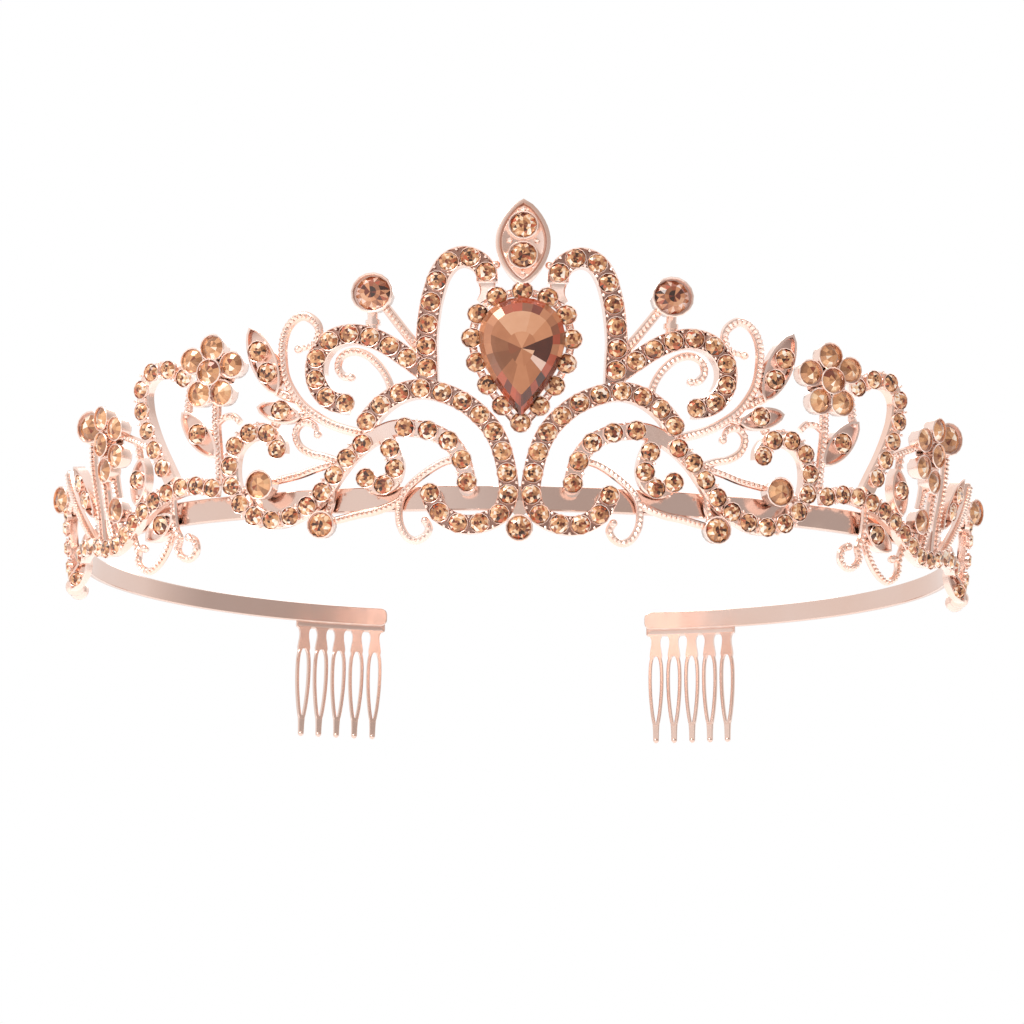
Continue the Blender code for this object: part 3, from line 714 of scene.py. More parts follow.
innerScrolls = {
    "crestArch": [
        (10.7, 13.4), (10.75, 16.0), (10.8, 18.5), (10.55, 21.2), (10.1, 23.7), (9.3, 26.2),
        (8.1, 27.8), (6.5, 28.3), (4.9, 27.6), (4.05, 26.3), (3.95, 24.9)],
    "shoulderScroll": [
        (11.2, 14.9), (13.0, 16.3), (15.1, 17.85), (17.4, 19.0), (19.8, 19.5), (22.2, 18.85),
        (23.8, 16.9), (24.0, 14.4), (22.7, 12.1), (20.5, 11.2), (19.1, 12.1)],
    "mainArch": [
        (18.8, 7.3), (17.9, 8.9), (16.2, 10.8), (14.0, 12.15), (11.6, 12.65), (9.2, 12.2),
        (6.8, 11.15), (4.8, 9.6), (3.2, 7.7), (2.2, 5.6), (1.55, 3.0), (1.3, 0.4),
        (2.2, -2.0), (4.5, -3.2), (6.9, -3.3), (9.2, -2.1), (10.4, 0.2), (10.3, 1.6)],
    "sScroll": [
        (29.2, 5.0), (29.2, 6.9), (30.9, 8.6), (33.1, 8.4), (34.95, 6.95), (35.65, 4.7),
        (35.45, 2.15), (34.15, -0.2), (31.9, -1.85), (29.4, -2.2), (27.2, -1.7),
        (25.15, -0.55), (23.3, 1.05), (21.85, 2.9), (20.2, 4.85), (18.2, 6.5), (16.2, 7.6),
        (14.6, 8.1), (12.75, 8.05), (10.35, 7.6), (8.05, 6.25), (6.7, 4.1), (6.1, 1.5),
        (6.2, 0.4)],
    "commaHook": [
        (16.0, 7.7), (15.3, 6.2), (14.75, 4.8), (14.55, 3.2), (15.2, 1.8), (16.7, 1.3),
        (18.0, 2.2), (18.4, 3.4)],
}
outerScrolls = {
    "outerLoop": [
        (40.8, 15.7), (42.6, 16.9), (44.6, 17.8), (47.0, 17.6), (48.65, 15.8), (48.75, 13.15),
        (48.0, 10.5), (46.95, 7.95), (45.7, 5.5), (44.6, 3.3)],
    "garland": [
        (36.95, 2.1), (38.2, 2.3), (40.4, 2.8), (42.7, 2.85), (44.9, 2.5), (46.9, 1.95),
        (48.9, 1.1), (50.9, 0.0), (52.9, -1.2), (54.9, -2.4), (57.2, -3.0), (59.7, -2.7),
        (62.2, -2.0), (64.8, -1.8), (67.0, -2.2), (68.8, -2.9)],
    "endScroll": [
        (72.6, 4.7), (74.9, 4.0), (76.8, 2.4), (77.8, 0.1), (77.4, -2.1), (75.8, -3.7),
        (73.6, -4.4)],
}

# scroll, distances of the first and the last stone from its two ends, how many stones, node
innerRows = {
    "crestArchStones": ("crestArch", 1.7, 1.5, 8, "crest_arch_stones"),
    "shoulderScrollStones": ("shoulderScroll", 2.3, 1.6, 9, "shoulder_scroll_stones"),
    "mainArchStones": ("mainArch", 1.9, 1.3, 16, "main_arch_stones"),
    "sScrollStones": ("sScroll", 1.3, 17.6, 15, "s_scroll_stones"),
    "sScrollCurlStones": ("sScroll", 41.8, 1.2, 5, "s_scroll_curl_stones"),
    "commaHookStones": ("commaHook", 2.2, 1.2, 4, "comma_hook_stones"),
}
outerRows = {
    "outerLoopStones": ("outerLoop", 1.0, 2.6, 8, "outer_loop_stones"),
    "garlandStones": ("garland", 1.3, 1.3, 14, "garland_stones"),
    "endScrollStones": ("endScroll", 1.3, 1.3, 5, "end_scroll_stones"),
}
# half width, trough or plain, and how far the strip is cut back at its two ends
stripShape = {
    "crestArch": (1.20, True, 0.0, 0.35), "shoulderScroll": (1.20, True, 0.0, 1.5),
    "mainArch": (1.14, True, 1.4, 0.9), "sScroll": (1.0, False, 0.9, 0.8),
    "commaHook": (1.0, False, 0.0, 0.8), "outerLoop": (1.05, False, 0.6, 0.6),
    "garland": (1.0, False, 0.9, 0.9), "endScroll": (1.0, False, 0.9, 0.9),
}

# points, radius, and how much thinner the wire starts
innerWires = [
    ([(26.3, 18.2), (24.6, 18.5), (23.8, 19.6), (23.9, 20.9), (24.9, 21.95), (26.1, 22.2),
      (27.5, 21.2), (28.3, 19.3), (28.4, 17.0), (28.1, 14.9), (27.2, 13.0), (25.9, 11.3),
      (24.0, 9.8), (22.0, 8.7), (20.0, 8.0), (18.4, 7.6)], 0.5, 0.55),
    ([(15.1, 12.2), (15.4, 13.7), (16.4, 15.5), (18.0, 17.0), (19.7, 17.5), (21.1, 16.9),
      (21.5, 15.6), (20.8, 14.6), (19.8, 14.4)], 0.42, 0.0),
    ([(24.1, 7.8), (24.6, 8.9), (25.8, 9.4), (26.8, 8.7), (27.0, 7.6), (26.4, 6.4),
      (25.0, 5.5), (23.4, 5.1), (21.5, 4.4)], 0.42, 0.5),
    ([(22.0, 4.3), (24.2, 3.8), (26.6, 3.1), (29.6, 2.6)], 0.42, 0.0),
    ([(31.6, 2.0), (33.4, 1.8), (35.0, 1.6)], 0.5, 0.0),
    ([(7.6, 4.4), (9.2, 3.9), (10.9, 2.9), (12.6, 1.6), (13.8, 0.2), (14.3, -1.4),
      (14.2, -3.2), (13.4, -4.7), (12.3, -5.2), (11.2, -4.7), (10.7, -3.8), (11.1, -2.9)],
     0.42, 0.0),
    ([(14.0, -0.4), (15.5, -1.1), (17.4, -1.7), (19.4, -2.0), (22.2, -2.6)], 0.42, 0.0),
    ([(22.4, 1.2), (22.6, -0.4), (23.2, -2.0)], 0.42, 0.0),
    ([(15.6, 22.5), (14.0, 20.3), (12.4, 18.2), (11.2, 16.6)], 0.5, 0.0),
    ([(26.6, 12.2), (27.8, 12.6), (29.4, 13.4)], 0.5, 0.0),
    ([(25.0, 10.4), (26.3, 10.2), (27.4, 10.8)], 0.5, 0.0),
    ([(29.0, 10.2), (29.8, 9.2)], 0.5, 0.0),
]
outerWires = [
    ([(37.6, 12.6), (37.75, 10.0), (37.65, 7.4), (37.5, 4.8), (37.6, 2.6)], 0.5, 0.0),
    ([(37.7, 10.2), (36.5, 10.9), (35.2, 10.8), (34.4, 10.0)], 0.4, 0.0),
    ([(41.2, 15.0), (41.7, 13.0), (41.9, 11.3)], 0.45, 0.0),
    ([(46.4, 7.6), (48.5, 8.6), (50.6, 9.6), (53.0, 10.6)], 0.45, 0.0),
    ([(50.3, 6.6), (50.6, 9.5)], 0.45, 0.0),
    ([(50.9, 3.0), (51.2, -0.2)], 0.45, 0.0),
    ([(56.1, 8.2), (55.9, 4.8), (55.2, 2.0)], 0.5, 0.0),
    ([(59.2, 8.4), (58.4, 4.6), (58.2, 2.2), (57.4, 0.2), (56.6, -2.8)], 0.5, 0.0),
    ([(61.0, 12.2), (61.5, 8.6), (61.2, 5.2), (60.6, 2.0), (60.6, -2.4)], 0.45, 0.0),
    ([(44.9, 2.4), (45.0, 0.4), (44.8, -1.8), (44.2, -3.2), (44.6, -4.6), (43.9, -5.7),
      (42.6, -5.9), (41.6, -5.1), (41.7, -3.9), (42.6, -3.3)], 0.42, 0.0),
    ([(45.2, -2.4), (46.4, -4.4), (48.0, -6.0), (49.8, -6.8), (51.3, -6.4), (52.1, -5.1),
      (51.7, -3.8), (50.5, -3.9)], 0.42, 0.0),
    ([(51.9, -4.2), (52.9, -1.6)], 0.42, 0.0),
    ([(62.4, -1.6), (64.6, 0.4), (67.0, 2.6), (69.4, 5.0), (71.4, 7.4), (72.4, 9.6)], 0.6, 0.0),
    ([(70.0, 5.6), (71.6, 5.2), (73.2, 4.6)], 0.55, 0.0),
    ([(60.6, 0.8), (62.4, 2.8)], 0.5, 0.0),
    ([(71.6, 7.6), (73.4, 7.4), (75.0, 7.3)], 0.55, 0.0),
    ([(68.0, -2.6), (71.0, -3.8), (74.4, -4.3)], 0.5, 0.0),
    ([(74.2, -4.2), (77.0, -5.0), (80.0, -4.6), (83.4, -4.4), (86.4, -4.2)], 0.5, 0.0),
]
innerBalls = [(26.3, 18.2), (24.1, 7.8), (19.8, 14.4), (11.1, -2.9)]
outerBalls = [(42.6, -3.3), (50.5, -3.9), (72.4, 9.6)]

# two tips and width
innerLeaves = [((29.0, 12.8), (32.3, 21.5), 3.4), ((26.0, 9.9), (31.7, 11.6), 2.7)]
outerLeaves = [((37.6, 6.0), (42.3, 12.1), 3.2), ((49.4, 7.4), (51.2, 1.6), 3.0),
               ((44.6, -0.4), (49.6, -3.0), 2.9), ((61.4, 1.6), (67.6, 9.6), 3.2)]
# a leaf under the garland's end that faces forwards: its tips, width and stone lie about its middle
turnedLeaf = {"tips": ((-1.5, 2.0), (1.5, -2.0)), "width": 2.0, "stone": (0.45, -0.6), "radius": 0.9,
              "middle": (69.9, -4.6, 0.2), "swing": -42.0}

# place, radius, depth of the girdle, kind of stone and cup, node
innerSingles = {
    "postStone": ((16.8, 24.1), 2.14, 1.45, "deep", "post_stone"),
    "largeScrollStone": ((31.1, 2.1), 1.6, 1.6, "point", "large_scroll_stone"),
    "hangingStone": ((23.6, -3.05), 1.5, 1.0, "deep", "hanging_stone"),
    "horizontalLeafStone": ((28.5, 10.95), 1.13, 0.80, "flat", "horizontal_leaf_stone"),
}
outerSingles = {
    "hangingLeafStone": ((39.95, 9.1), 1.2, 0.80, "flat", "hanging_leaf_stone"),
    "upperLeafStone": ((50.3, 4.7), 1.15, 0.80, "flat", "upper_leaf_stone"),
    "lowerLeafStone": ((46.5, -1.4), 1.2, 0.80, "flat", "lower_leaf_stone"),
    "outerCupStone": ((55.1, 1.6), 1.5, 0.7, "point", "outer_cup_stone"),
    "endCupStone": ((76.6, 6.7), 1.7, 1.3, "turned", "end_cup_stone"),
}
innerPairs = {"diagonalLeafStones": ([(30.1, 15.6), (31.25, 18.3)], 1.2, "diagonal_leaf_stones")}
outerPairs = {"endLeafStones": ([(63.6, 4.3), (65.5, 6.9)], 1.15, "end_leaf_stones")}

innerFlower = {"centre": (37.5, 16.4), "angles": (34, 98, 169, 243, 304), "reach": 3.0, "radius": 1.5,
               "firstRadius": 1.5, "firstReach": 2.95, "firstKind": "point", "front": 1.1}
outerFlower = {"centre": (56.8, 10.35), "angles": (36, 90, 153, 216, 270), "reach": 3.35, "radius": 1.45,
               "firstRadius": 1.9, "firstReach": 4.9, "firstKind": "turned", "front": 0.9}

# where the casting is soldered to the strip
innerPads = [(1.35, 0.2), (6.2, 0.9), (24.3, 0.1), (34.2, -0.1)]
outerPads = [(50.9, 0.0), (77.8, 0.2)]
pad = {"low": 0.7, "high": 0.95, "depth": -0.75, "waist": 1.0}


def cutBack(line, start, end):
    # the same line, shorter at its two ends
    total = lineLength(line)
    kept, run = [alongLine(line, start)[0]], 0.0
    for a, b in zip(line, line[1:]):
        run += (b - a).length
        if start + 0.05 < run < total - end - 0.05:
            kept.append(b)
    return kept + [alongLine(line, total - end)[0]]


def addStrip(name, points):
    half, trough, start, end = stripShape[name]
    line = cutBack(smoothLine(points), start, end)
    if trough:
        return sweep(line, channelOutline(half, channel))
    return sweep(line, plainOutline(half, plainStrip["back"], plainStrip["front"]))


# how far the lip stands over the girdle, where the foot lies, and how far a turned cup swings
single = {"fit": 0.99, "lip": 0.22, "deepBack": -0.85, "flatBack": 0.0, "swing": -26.0}
singleModel = {"deep": "largeStone", "turned": "pointed", "point": "pointed", "flat": "stone"}


def setSingle(spot, radius, depth, kind):
    # a stone and its cup, a deep one or a flat collet, stretched from its foot to its lip
    cupModel = models["collet" if kind == "flat" else "deepCollet"]
    cup = copyTo(cupModel, spot, 0.0, chance.uniform(0, 1), radius)
    points = cup.data.vertices
    top, foot = max(p.co.z for p in points), min(p.co.z for p in points)
    lip = depth + single["lip"] * radius
    back = single["flatBack" if kind == "flat" else "deepBack"]
    for p in points:
        p.co.z = back + (p.co.z - foot) / (top - foot) * (lip - back)
    stone = setStone(spot, radius * single["fit"], depth, singleModel[kind])
    if kind == "turned":
        foot = Vector((spot[0], spot[1], back))
        swing = (Matrix.Translation(foot) @ Matrix.Rotation(math.radians(single["swing"]), 4, "Y")
                 @ Matrix.Translation(-foot))
        stone.data.transform(swing)
        cup.data.transform(swing)
    return stone, cup


flowerDisc = {"low": 0.8, "high": 0.95, "depth": -0.2, "waist": 0.5, "sides": 20, "middleRise": 0.3}


def makeFlower(v):
    # a ring of cups round one that stands a little higher, on a small disc
    middle, reach = v["centre"], v["reach"]
    metal = [turnedPin(middle, reach * flowerDisc["low"], reach * flowerDisc["high"], flowerDisc["depth"],
                       flowerDisc["waist"], flowerDisc["sides"])]
    places = [(middle, v["radius"], v["front"] + flowerDisc["middleRise"], "point")]
    for k, degrees in enumerate(v["angles"]):
        angle = math.radians(degrees)
        reach, radius, kind = v["reach"], v["radius"], "point"
        if k == 0:
            reach, radius, kind = v["firstReach"], v["firstRadius"], v["firstKind"]
        spot = (middle[0] + reach * math.cos(angle), middle[1] + reach * math.sin(angle))
        places.append((spot, radius, v["front"], kind))
    stones = []
    for place in places:
        stone, cup = setSingle(*place)
        stones.append(stone)
        metal.append(cup)
    return stones, metal


def makeTurnedLeaf(v):
    # a leaf with one stone, swung so that it faces forwards
    leaf = makeDish(leafOutline(*v["tips"], v["width"]), leafDish)
    stone, cup = setSingle(v["stone"], v["radius"], leafStoneDepth, "flat")
    swing = Matrix.Translation(v["middle"]) @ Matrix.Rotation(math.radians(v["swing"]), 4, "Y")
    for piece in (leaf, stone, cup):
        piece.data.transform(swing)
    return stone, [leaf, cup]


def finishStones(stones, name, node):
    row = joinPieces(stones)
    bendRoundBand(row)
    finishPair(row, name, node)


leafStoneDepth = 0.76
tipBall = {"depth": 0.1, "radius": 0.52}


def makeWing(v):
    # finishes the wing's stones, and returns the pieces of its casting
    metal = [addStrip(name, points) for name, points in v["scrolls"].items()]
    for name, (scroll, first, last, count, node) in v["rows"].items():
        stones, cups = setRow(smoothLine(v["scrolls"][scroll]), first, last, count)
        metal += cups
        finishStones(stones + v["moreStones"].get(name, []), name, node)
    for wire in v["wires"]:
        metal += beadedWire(*wire)
    for spot in v["balls"]:
        metal.append(copyTo(models["ball"], spot, tipBall["depth"], 0.0, tipBall["radius"]))
    for leaf in v["leaves"]:
        metal.append(makeDish(leafOutline(*leaf), leafDish))
    for name, (spot, radius, depth, kind, node) in v["singles"].items():
        stone, cup = setSingle(spot, radius, depth, kind)
        metal.append(cup)
        finishStones([stone], name, node)
    for name, (spots, radius, node) in v["pairs"].items():
        both = [setSingle(spot, radius, leafStoneDepth, "flat") for spot in spots]
        metal += [cup for _, cup in both]
        finishStones([stone for stone, _ in both], name, node)
    for name, flower, node in v["flowers"]:
        stones, cups = makeFlower(flower)
        metal += cups
        finishStones(stones, name, node)
    for spot in v["pads"]:
        metal.append(turnedPin(spot, *pad.values()))
    return metal


def finishCasting(parts):
    casting = joinPieces(parts)
    bendRoundBand(casting)
    smoothMetal(casting)
    return casting


# the post under the round stone with its ring, and the crest arch's end
post = {"line": ((17.2, 22.2), (17.15, 19.4)), "radius": 0.62,
        "ring": ((17.17, 21.1), (17.16, 20.5)), "ringRadius": 0.88}
crestEnd = {"ball": (3.05, 27.3), "ballDepth": 0.2, "ballRadius": 0.55,
            "tail": [(3.98, 25.1), (3.98, 24.4), (4.3, 23.6), (4.95, 22.95)],
            "half": 0.95, "back": -0.6, "front": 0.75, "taper": 0.70, "curve": 1.5}


def crestTail(v):
    line = smoothLine(v["tail"], 4)
    widths = [1.0 - v["taper"] * (k / (len(line) - 1)) ** v["curve"] for k in range(len(line))]
    return sweep(line, plainOutline(v["half"], v["back"], v["front"]), widths=widths)


innerMetal = makeWing({"scrolls": innerScrolls, "rows": innerRows, "moreStones": {}, "wires": innerWires,
                       "balls": innerBalls, "leaves": innerLeaves, "singles": innerSingles,
                       "pairs": innerPairs, "flowers": [], "pads": innerPads})
innerMetal.append(roundBar(post["line"], post["radius"]))
innerMetal.append(roundBar(post["ring"], post["ringRadius"]))
innerMetal.append(copyTo(models["ball"], crestEnd["ball"], crestEnd["ballDepth"], 0.0,
                         crestEnd["ballRadius"]))
innerMetal.append(crestTail(crestEnd))
finishPair(finishCasting(innerMetal), "innerWing", "inner_wing_casting")
print("inner wings made")

drops = {"spots": ((80.4, -4.6), (86.4, -4.2)), "depth": 0.15, "radius": 1.35}

leafStone, leafMetal = makeTurnedLeaf(turnedLeaf)
outerMetal = makeWing({"scrolls": outerScrolls, "rows": outerRows,
                       "moreStones": {"garlandStones": [leafStone]}, "wires": outerWires,
                       "balls": outerBalls, "leaves": outerLeaves,
                       "singles": outerSingles, "pairs": outerPairs,
                       "flowers": [("innerFlowerStones", innerFlower, "inner_flower_stones"),
                                   ("outerFlowerStones", outerFlower, "outer_flower_stones")],
                       "pads": outerPads})
for spot in drops["spots"]:
    outerMetal.append(copyTo(models["ball"], spot, drops["depth"], 0.0, drops["radius"]))
finishPair(finishCasting(outerMetal + leafMetal), "outerWing", "outer_wing_casting")
print("outer wings made")


# centre: pear stone, halo, finial leaf, drop

pear = {"tip": 9.6, "top": 23.1, "width": 6.0, "points": 28, "heart": 17.1, "foot": 0.7, "fit": 0.22,
        # height of each step of the crown and how much it draws in
        "steps": ((0.5, 1.0), (0.75, 0.88), (0.70, 0.80), (0.03, 0.86), (0.0, 0.52))}
# painted light and shade up to each angle round the heart: the big facets behind the table, the ring round
# it, the crown
pearShades = {
    "inner": [(30, 0.04), (70, 0.58), (120, 0.72), (160, 0.60), (205, 0.40), (240, 0.42), (275, 0.62),
              (318, 0.58), (345, 0.84), (360, 0.06)],
    "outer": [(22, 0.05), (52, 0.66), (80, 0.74), (128, 0.78), (158, 0.58), (200, 0.46), (232, 0.42),
              (258, 0.52), (285, 0.62), (312, 0.56), (338, 0.95), (360, 0.05)],
    "ring": [(20, 0.62), (60, 0.52), (90, 0.28), (120, 0.60), (160, 0.50), (205, 0.64), (250, 0.34),
             (290, 0.70), (325, 0.97), (360, 0.90)],
    "crown": [(15, 0.28), (45, 0.32), (62, 0.58), (80, 0.22), (100, 0.30), (118, 0.24), (150, 0.58),
              (205, 0.52), (232, 0.44), (262, 0.22), (290, 0.14), (318, 0.10), (340, 0.18), (360, 0.60)],
}
# neighbours in the crown get painted shades that differ, as facets that lean different ways catch the
# light differently
crownStep = {"odd": 0.07, "even": -0.06, "less": -0.04, "more": 0.05, "upperRow": 1.9}


def pearOutline(offset=0.0, points=None):
    count = points or pear["points"]
    middle, half = (pear["tip"] + pear["top"]) / 2, (pear["top"] - pear["tip"]) / 2
    outline = []
    for k in range(count):
        t = 2 * math.pi * k / count
        outline.append(Vector((pear["width"] * math.sin(t) * abs(math.sin(t / 2)),
                               middle - half * math.cos(t))))
    moved = []
    for k, p in enumerate(outline):
        ahead = outline[(k + 1) % count] - outline[k - 1]
        moved.append(p + Vector((ahead.y, -ahead.x)).normalized() * offset)
    return moved


def makePearStone():
    # girdle, two rows of crown facets, then the table, poked into triangles that carry the painted
    # reflection of the facets behind it meeting at the culet
    outline = pearOutline(pear["fit"])
    deselectAll()
    bpy.ops.mesh.primitive_circle_add(vertices=len(outline), radius=1.0, fill_type="NGON")
    stone = newest()
    for vertex, point in zip(stone.data.vertices, outline):
        vertex.co = (point.x, point.y, pear["foot"])
    editMode()
    bpy.ops.mesh.select_all(action="SELECT")
    bpy.ops.mesh.normals_make_consistent(inside=False)
    for rise, share in pear["steps"]:
        extrudeUp(rise, share, (0.0, pear["heart"], 0.0))
    bpy.ops.mesh.poke(offset=0.0)
    objectMode()
    return closeUp(stone, 0.0001)


# paints light and shade onto each facet of the pear
def shadePear(stone):
    shades = []
    top = max(face.center.z for face in stone.data.polygons)
    for face in stone.data.polygons:
        angle = math.degrees(math.atan2(face.center.y - pear["heart"], face.center.x)) % 360
        if face.center.z > top - 0.02:
            part = "inner" if len(face.vertices) == 3 else "outer"
        else:
            part = "ring" if face.normal.z > 0.95 else "crown"
        shade = next(value for limit, value in pearShades[part] if angle <= limit)
        if part == "crown":
            step = int(angle / 360 * pear["points"]) + (face.center.z > crownStep["upperRow"])
            shade += crownStep["odd" if step % 2 else "even"]
            shade += chance.uniform(crownStep["less"], crownStep["more"])
        shades.append(min(max(shade, 0.0), 1.0))
    stone.data.attributes.new("facet", "FLOAT", "FACE").data.foreach_set("value", shades)


pearStone = makePearStone()
shadePear(pearStone)
bendRoundBand(pearStone)
finishPiece(pearStone, "pearStone", "pear_stone")

halo = {"offset": 1.0, "stones": 14, "radius": 1.12, "grain": 0.3, "grainReach": 0.1, "grainDepth": 0.75,
        "ringHalf": 0.45, "ringBack": -0.75, "ringFront": 0.25}
basket = {"offset": 0.30, "back": -0.7, "front": 0.72, "rim": 0.30, "slope": 0.06, "sunk": 0.2}
finialLeaf = {"back": -0.7, "front": 0.95, "rim": 0.42, "slope": 0.10, "sunk": 0.30, "inner": 0.22}
finial = {"tips": ((0.0, 24.8), (0.0, 35.1)), "width": 6.1, "points": 16, "sharpness": 0.68,
          "stem": ((0.0, 23.4), (0.0, 26.0)), "stemSection": (0.6, -0.6, 0.5, 10),
          "radius": 1.5, "depth": 1.05, "grainDepth": 0.85,
          "stones": (("Lower", (0.0, 28.35)), ("Upper", (0.0, 31.9))),
          # place and size of the grains on its floor
          "grains": (((-1.45, 30.15), 0.36), ((1.45, 30.15), 0.36), ((0.0, 33.9), 0.34),
                     ((-0.45, 33.5), 0.2), ((0.45, 33.5), 0.2), ((0.0, 26.35), 0.3),
                     ((-1.15, 27.0), 0.2), ((1.15, 27.0), 0.2))}

haloLine = pearOutline(halo["offset"], 80)
haloRing = plainOutline(halo["ringHalf"], halo["ringBack"], halo["ringFront"])
centreMetal = [makeDish(pearOutline(basket["offset"]), basket), sweep(haloLine, haloRing, closed=True)]
haloLine.append(haloLine[0])
haloPitch = lineLength(haloLine) / halo["stones"]
haloStones = []
for k in range(halo["stones"]):
    spot, ahead = alongLine(haloLine, k * haloPitch)
    turn = math.atan2(ahead.y, ahead.x)
    haloStones.append(setStone(spot, halo["radius"], rowSetting["depth"]))
    centreMetal.append(copyTo(models["collet"], spot, 0.0, turn, halo["radius"]))
    spot, ahead = alongLine(haloLine, (k + 0.5) * haloPitch)
    across = Vector((-ahead.y, ahead.x))
    centreMetal.append(copyTo(models["bead"], spot + across * halo["grainReach"], halo["grainDepth"], turn,
                              halo["grain"]))
haloRow = joinPieces(haloStones)
bendRoundBand(haloRow)
finishPiece(haloRow, "haloStones", "halo_stones")

finialOutline = leafOutline(*finial["tips"], finial["width"], finial["points"], finial["sharpness"])
centreMetal.append(makeDish(finialOutline, finialLeaf))
centreMetal.append(sweep([Vector(p) for p in finial["stem"]], roundOutline(*finial["stemSection"])))
for spot, size in finial["grains"]:
    centreMetal.append(copyTo(models["bead"], spot, finial["grainDepth"], 0.0, size))
for place, spot in finial["stones"]:
    stone, cup = setSingle(spot, finial["radius"], finial["depth"], "deep")
    centreMetal.append(cup)
    bendRoundBand(stone)
    finishPiece(stone, "finialStone" + place, "finial_stone_" + place.lower())
finishPiece(finishCasting(centreMetal), "centreCasting", "centre_casting")

drop = {"spot": (0.0, -3.75), "radius": 1.42, "depth": 0.95}
dropPin = {"spot": (0.0, -1.45), "low": 0.85, "high": 0.95, "depth": -0.05, "waist": 1.0, "sides": 12}
dropStone, dropCup = setSingle(*drop.values(), "deep")
bendRoundBand(dropStone)
finishPiece(dropStone, "dropStone", "centre_drop_stone")
finishPiece(finishCasting([dropCup, turnedPin(*dropPin.values())]), "dropCup", "centre_drop_cup")
print("centre made")


# headband and combs

def makeStrip(v):
    # a long sheet with round corners, thickened and softened
    deselectAll()
    bpy.ops.mesh.primitive_grid_add(x_subdivisions=v["cuts"], y_subdivisions=2, size=1.0)
    strip = newest()
    strip.data.transform(Matrix.Translation(v["middle"])
                         @ Matrix.Diagonal((v["length"], v["height"], 1.0, 1.0)))
    editMode()
    bpy.ops.mesh.select_all(action="DESELECT")
    mesh = bmesh.from_edit_mesh(strip.data)
    for vertex in mesh.verts:
        if len(vertex.link_edges) == 2:
            vertex.select_set(True)
    bmesh.update_edit_mesh(strip.data)
    bpy.ops.mesh.bevel(offset=v["corner"], segments=4, affect="VERTICES")
    objectMode()
    wall = strip.modifiers.new("wall", "SOLIDIFY")
    wall.thickness = v["thickness"]
    wall.offset = 0.0
    soft = strip.modifiers.new("soft", "BEVEL")
    soft.width = v["edge"]
    soft.segments = 2
    soft.limit_method = "ANGLE"
    applyAll(strip)
    return closeUp(strip)


headband = makeStrip({"cuts": round(2 * bandLength() / band["step"]), "middle": (0.0, 0.0, 0.0),
                      "length": 2 * bandLength(), "height": band["height"], "corner": band["endCorner"],
                      "thickness": band["thickness"], "edge": band["edge"]})
bendRoundBand(headband, onBand=True)
smoothMetal(headband, 15.0)
finishPiece(headband, "headbandStrip", "headband")

comb = {"teeth": 5, "pitch": 3.0, "end": bandLength() - 0.2, "margin": 1.6, "front": 0.85, "thick": 0.62,
        "spine": {"cuts": 14, "past": 1.4, "middle": -0.95, "height": 3.1, "corner": 0.4, "edge": 0.1}}
# one tooth: half of the neck, half of the wire loop, the tip below it
tooth = {"neck": [(1.30, -2.2), (1.02, -2.5), (0.80, -2.9), (0.72, -3.4), (0.76, -4.1), (0.90, -4.9),
                  (1.02, -5.7), (0.95, -6.2), (0.40, -5.9)],
         "loop": [(0.0, -5.55), (0.48, -5.85), (0.84, -7.0), (0.97, -9.2), (0.90, -12.2), (0.62, -15.2),
                  (0.28, -17.3)],
         "wire": 0.27, "edge": 0.1, "tip": (-16.9, -18.4, -19.9), "tipHalf": 0.56,
         "tipWidths": [1.0, 0.85, 0.8], "ballAt": -19.85, "ball": 0.46}
# shallow domes where the spine is spot welded to the strip
weld = {"shares": (0.22, 0.78), "up": -0.3, "radius": 0.7, "flat": 0.25}


def makeTooth(v):
    # neck, open almond loop and a round-ended tip, stamped from one sheet
    half = comb["thick"] / 2
    back, front = comb["front"] - half, comb["front"] + half
    neck = cutPlate(v["neck"] + [(-x, y) for x, y in v["neck"][::-1]], back, front)
    loop = smoothLine(v["loop"], 5)
    loop += [Vector((-p.x, p.y)) for p in loop[:0:-1]]
    ring = sweep(loop, plainOutline(v["wire"], back, front, v["edge"]), closed=True)
    tip = sweep([Vector((0.0, up)) for up in v["tip"]],
                plainOutline(v["tipHalf"], -half, half, v["edge"]), widths=v["tipWidths"])
    tip.data.transform(Matrix.Translation((0, 0, comb["front"])))
    ball = copyTo(models["ball"], (0.0, v["ballAt"]), comb["front"], 0.0, v["ball"])
    return joinPieces([neck, ring, tip, ball])


def makeComb(v):
    width = (v["teeth"] - 1) * v["pitch"]
    last = v["end"] - v["margin"]
    spine = v["spine"]
    start = last - width - spine["past"]
    parts = [makeStrip(dict(spine, middle=((start + v["end"]) / 2, spine["middle"], v["front"]),
                            length=v["end"] - start, thickness=v["thick"]))]
    model = makeTooth(tooth)
    for k in range(v["teeth"]):
        parts.append(copyTo(model, (last - k * v["pitch"], 0.0)))
    bpy.data.objects.remove(model)
    for share in weld["shares"]:
        dome = copyTo(models["ball"], (0.0, 0.0), 0.0, 0.0, weld["radius"])
        outside = v["front"] + v["thick"] / 2
        dome.data.transform(Matrix.Translation((last - width * share, weld["up"], outside))
                            @ Matrix.Diagonal((1.0, 1.0, weld["flat"], 1.0)))
        parts.append(dome)
    piece = joinPieces(parts)
    bendRoundBand(piece, onBand=True)
    smoothMetal(piece)
    finishPair(piece, "hairComb", "comb")


makeComb(comb)
for model in models.values():
    bpy.data.objects.remove(model)
print("headband and combs made")


# floor, light and camera

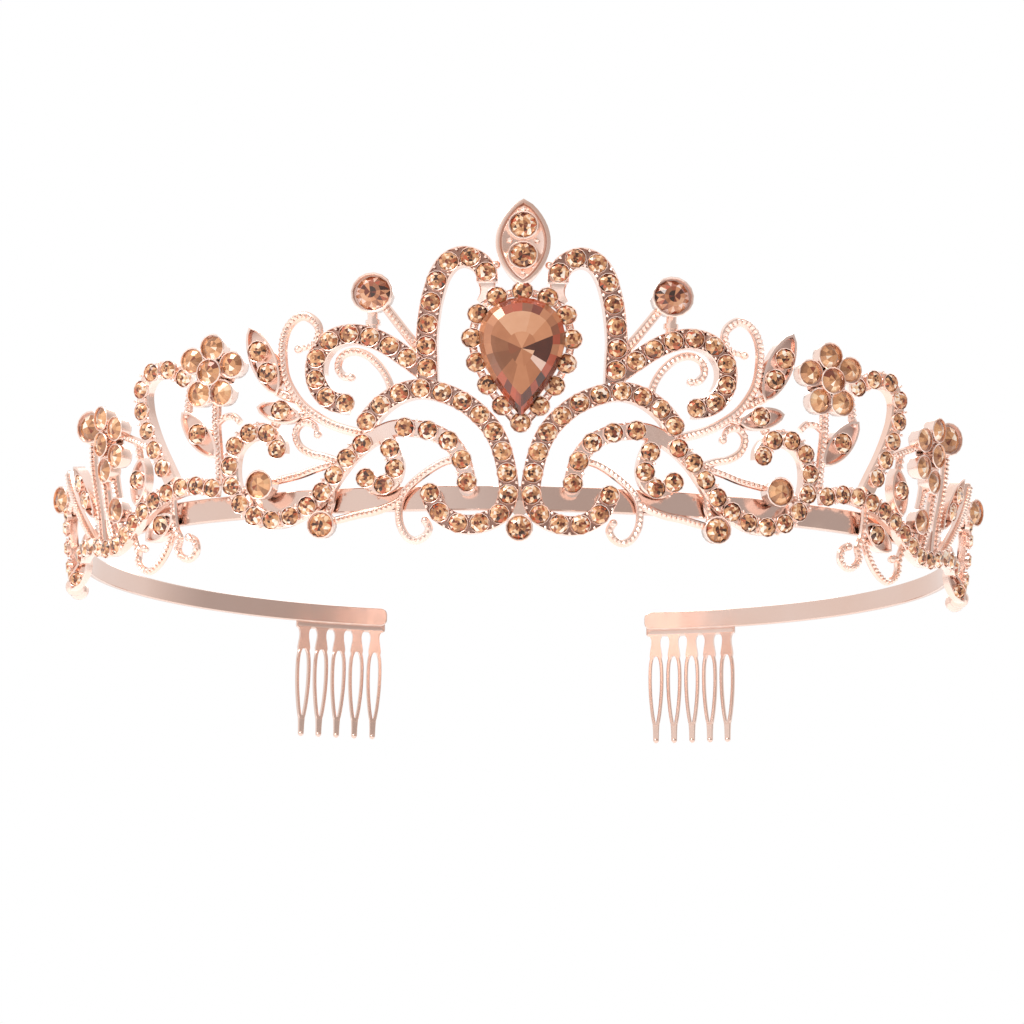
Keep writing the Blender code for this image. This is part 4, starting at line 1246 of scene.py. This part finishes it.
stage = {"floorZ": -0.075, "radius": 0.42, "grain": 40.0, "darkest": 0.92, "palest": 0.97}
deselectAll()
bpy.ops.mesh.primitive_circle_add(vertices=96, radius=stage["radius"], fill_type="NGON",
                                  location=(0, 0, stage["floorZ"]))
floor = newest()
floor.name = "paleFloor"
paper, paperTree, paperShader = newMaterial("palePaper")
grain = addNode(paperTree, "TexNoise", {"Scale": stage["grain"]})
paperTone = addNode(paperTree, "MapRange", {"Value": grain.outputs["Fac"], "To Min": stage["darkest"],
                                            "To Max": stage["palest"]})
setInputs(paperTree, paperShader, {"Roughness": 0.7, "Base Color": paperTone.outputs["Result"]})
floor.data.materials.append(paper)

# the fill only lifts shadows, and doesn't show as a patch in the strip
lights = {
    "key": {"place": (-0.40, -0.42, 0.50), "size": 0.35, "power": 2.9, "tint": (1.0, 0.97, 0.94),
            "reflected": True},
    "fill": {"place": (0.55, -0.35, 0.25), "size": 0.40, "power": 0.8, "tint": (1.0, 0.98, 0.96),
             "reflected": False},
    "rim": {"place": (0.10, 0.50, 0.45), "size": 0.45, "power": 1.4, "tint": (1.0, 1.0, 1.0),
            "reflected": True},
}
lightsAim = Vector((0.0, 0.0, 0.03))
for name, v in lights.items():
    lamp = bpy.data.lights.new(name, "AREA")
    lamp.size = v["size"]
    lamp.energy = v["power"]
    lamp.color = v["tint"]
    holder = bpy.data.objects.new(name, lamp)
    holder.location = v["place"]
    holder.rotation_euler = (lightsAim - holder.location).to_track_quat("-Z", "Y").to_euler()
    holder.visible_glossy = v["reflected"]
    bpy.context.scene.collection.objects.link(holder)

# a bright room that is darker at the front right, so that polished metal has something to reflect
roomTones = {"towards": (-0.75, 0.66, 0.0), "dark": (0.58, 0.54, 0.52, 1.0), "darkTo": -0.72,
             "bright": (1.0, 0.99, 0.98, 1.0), "brightFrom": -0.26, "seen": (1.0, 1.0, 1.0, 1.0)}
room = bpy.data.worlds.new("room")
bpy.context.scene.world = room
room.use_nodes = True
tree = room.node_tree
tree.nodes.clear()
place = addNode(tree, "TexCoord").outputs["Generated"]
across = addNode(tree, "VectorMath", {0: place, 1: roomTones["towards"]}, operation="DOT_PRODUCT")
front = addNode(tree, "MapRange", {"Value": across.outputs["Value"], "From Min": roomTones["darkTo"],
                                   "From Max": roomTones["brightFrom"]})
tone = mixTone(tree, front.outputs["Result"], roomTones["dark"], roomTones["bright"])
cameraRay = addNode(tree, "LightPath").outputs["Is Camera Ray"]
glow = addNode(tree, "Background", {"Color": mixTone(tree, cameraRay, tone, roomTones["seen"])})
addNode(tree, "OutputWorld", {"Surface": glow.outputs["Background"]})
bpy.context.scene.view_settings.view_transform = "Standard"

cameraView = {"place": (-0.00087, -0.27067, -0.0269), "pitch": 101.45, "roll": 0.8, "lens": 68.55}
lensData = bpy.data.cameras.new("camera")
lensData.lens = cameraView["lens"]
lensData.sensor_width = 36.0
lensData.clip_start = 0.005
camera = bpy.data.objects.new("camera", lensData)
camera.matrix_world = (Matrix.Translation(cameraView["place"])
                       @ Matrix.Rotation(math.radians(cameraView["pitch"]), 4, "X")
                       @ Matrix.Rotation(math.radians(cameraView["roll"]), 4, "Z"))
bpy.context.scene.collection.objects.link(camera)
bpy.context.scene.camera = camera

print("scene made")
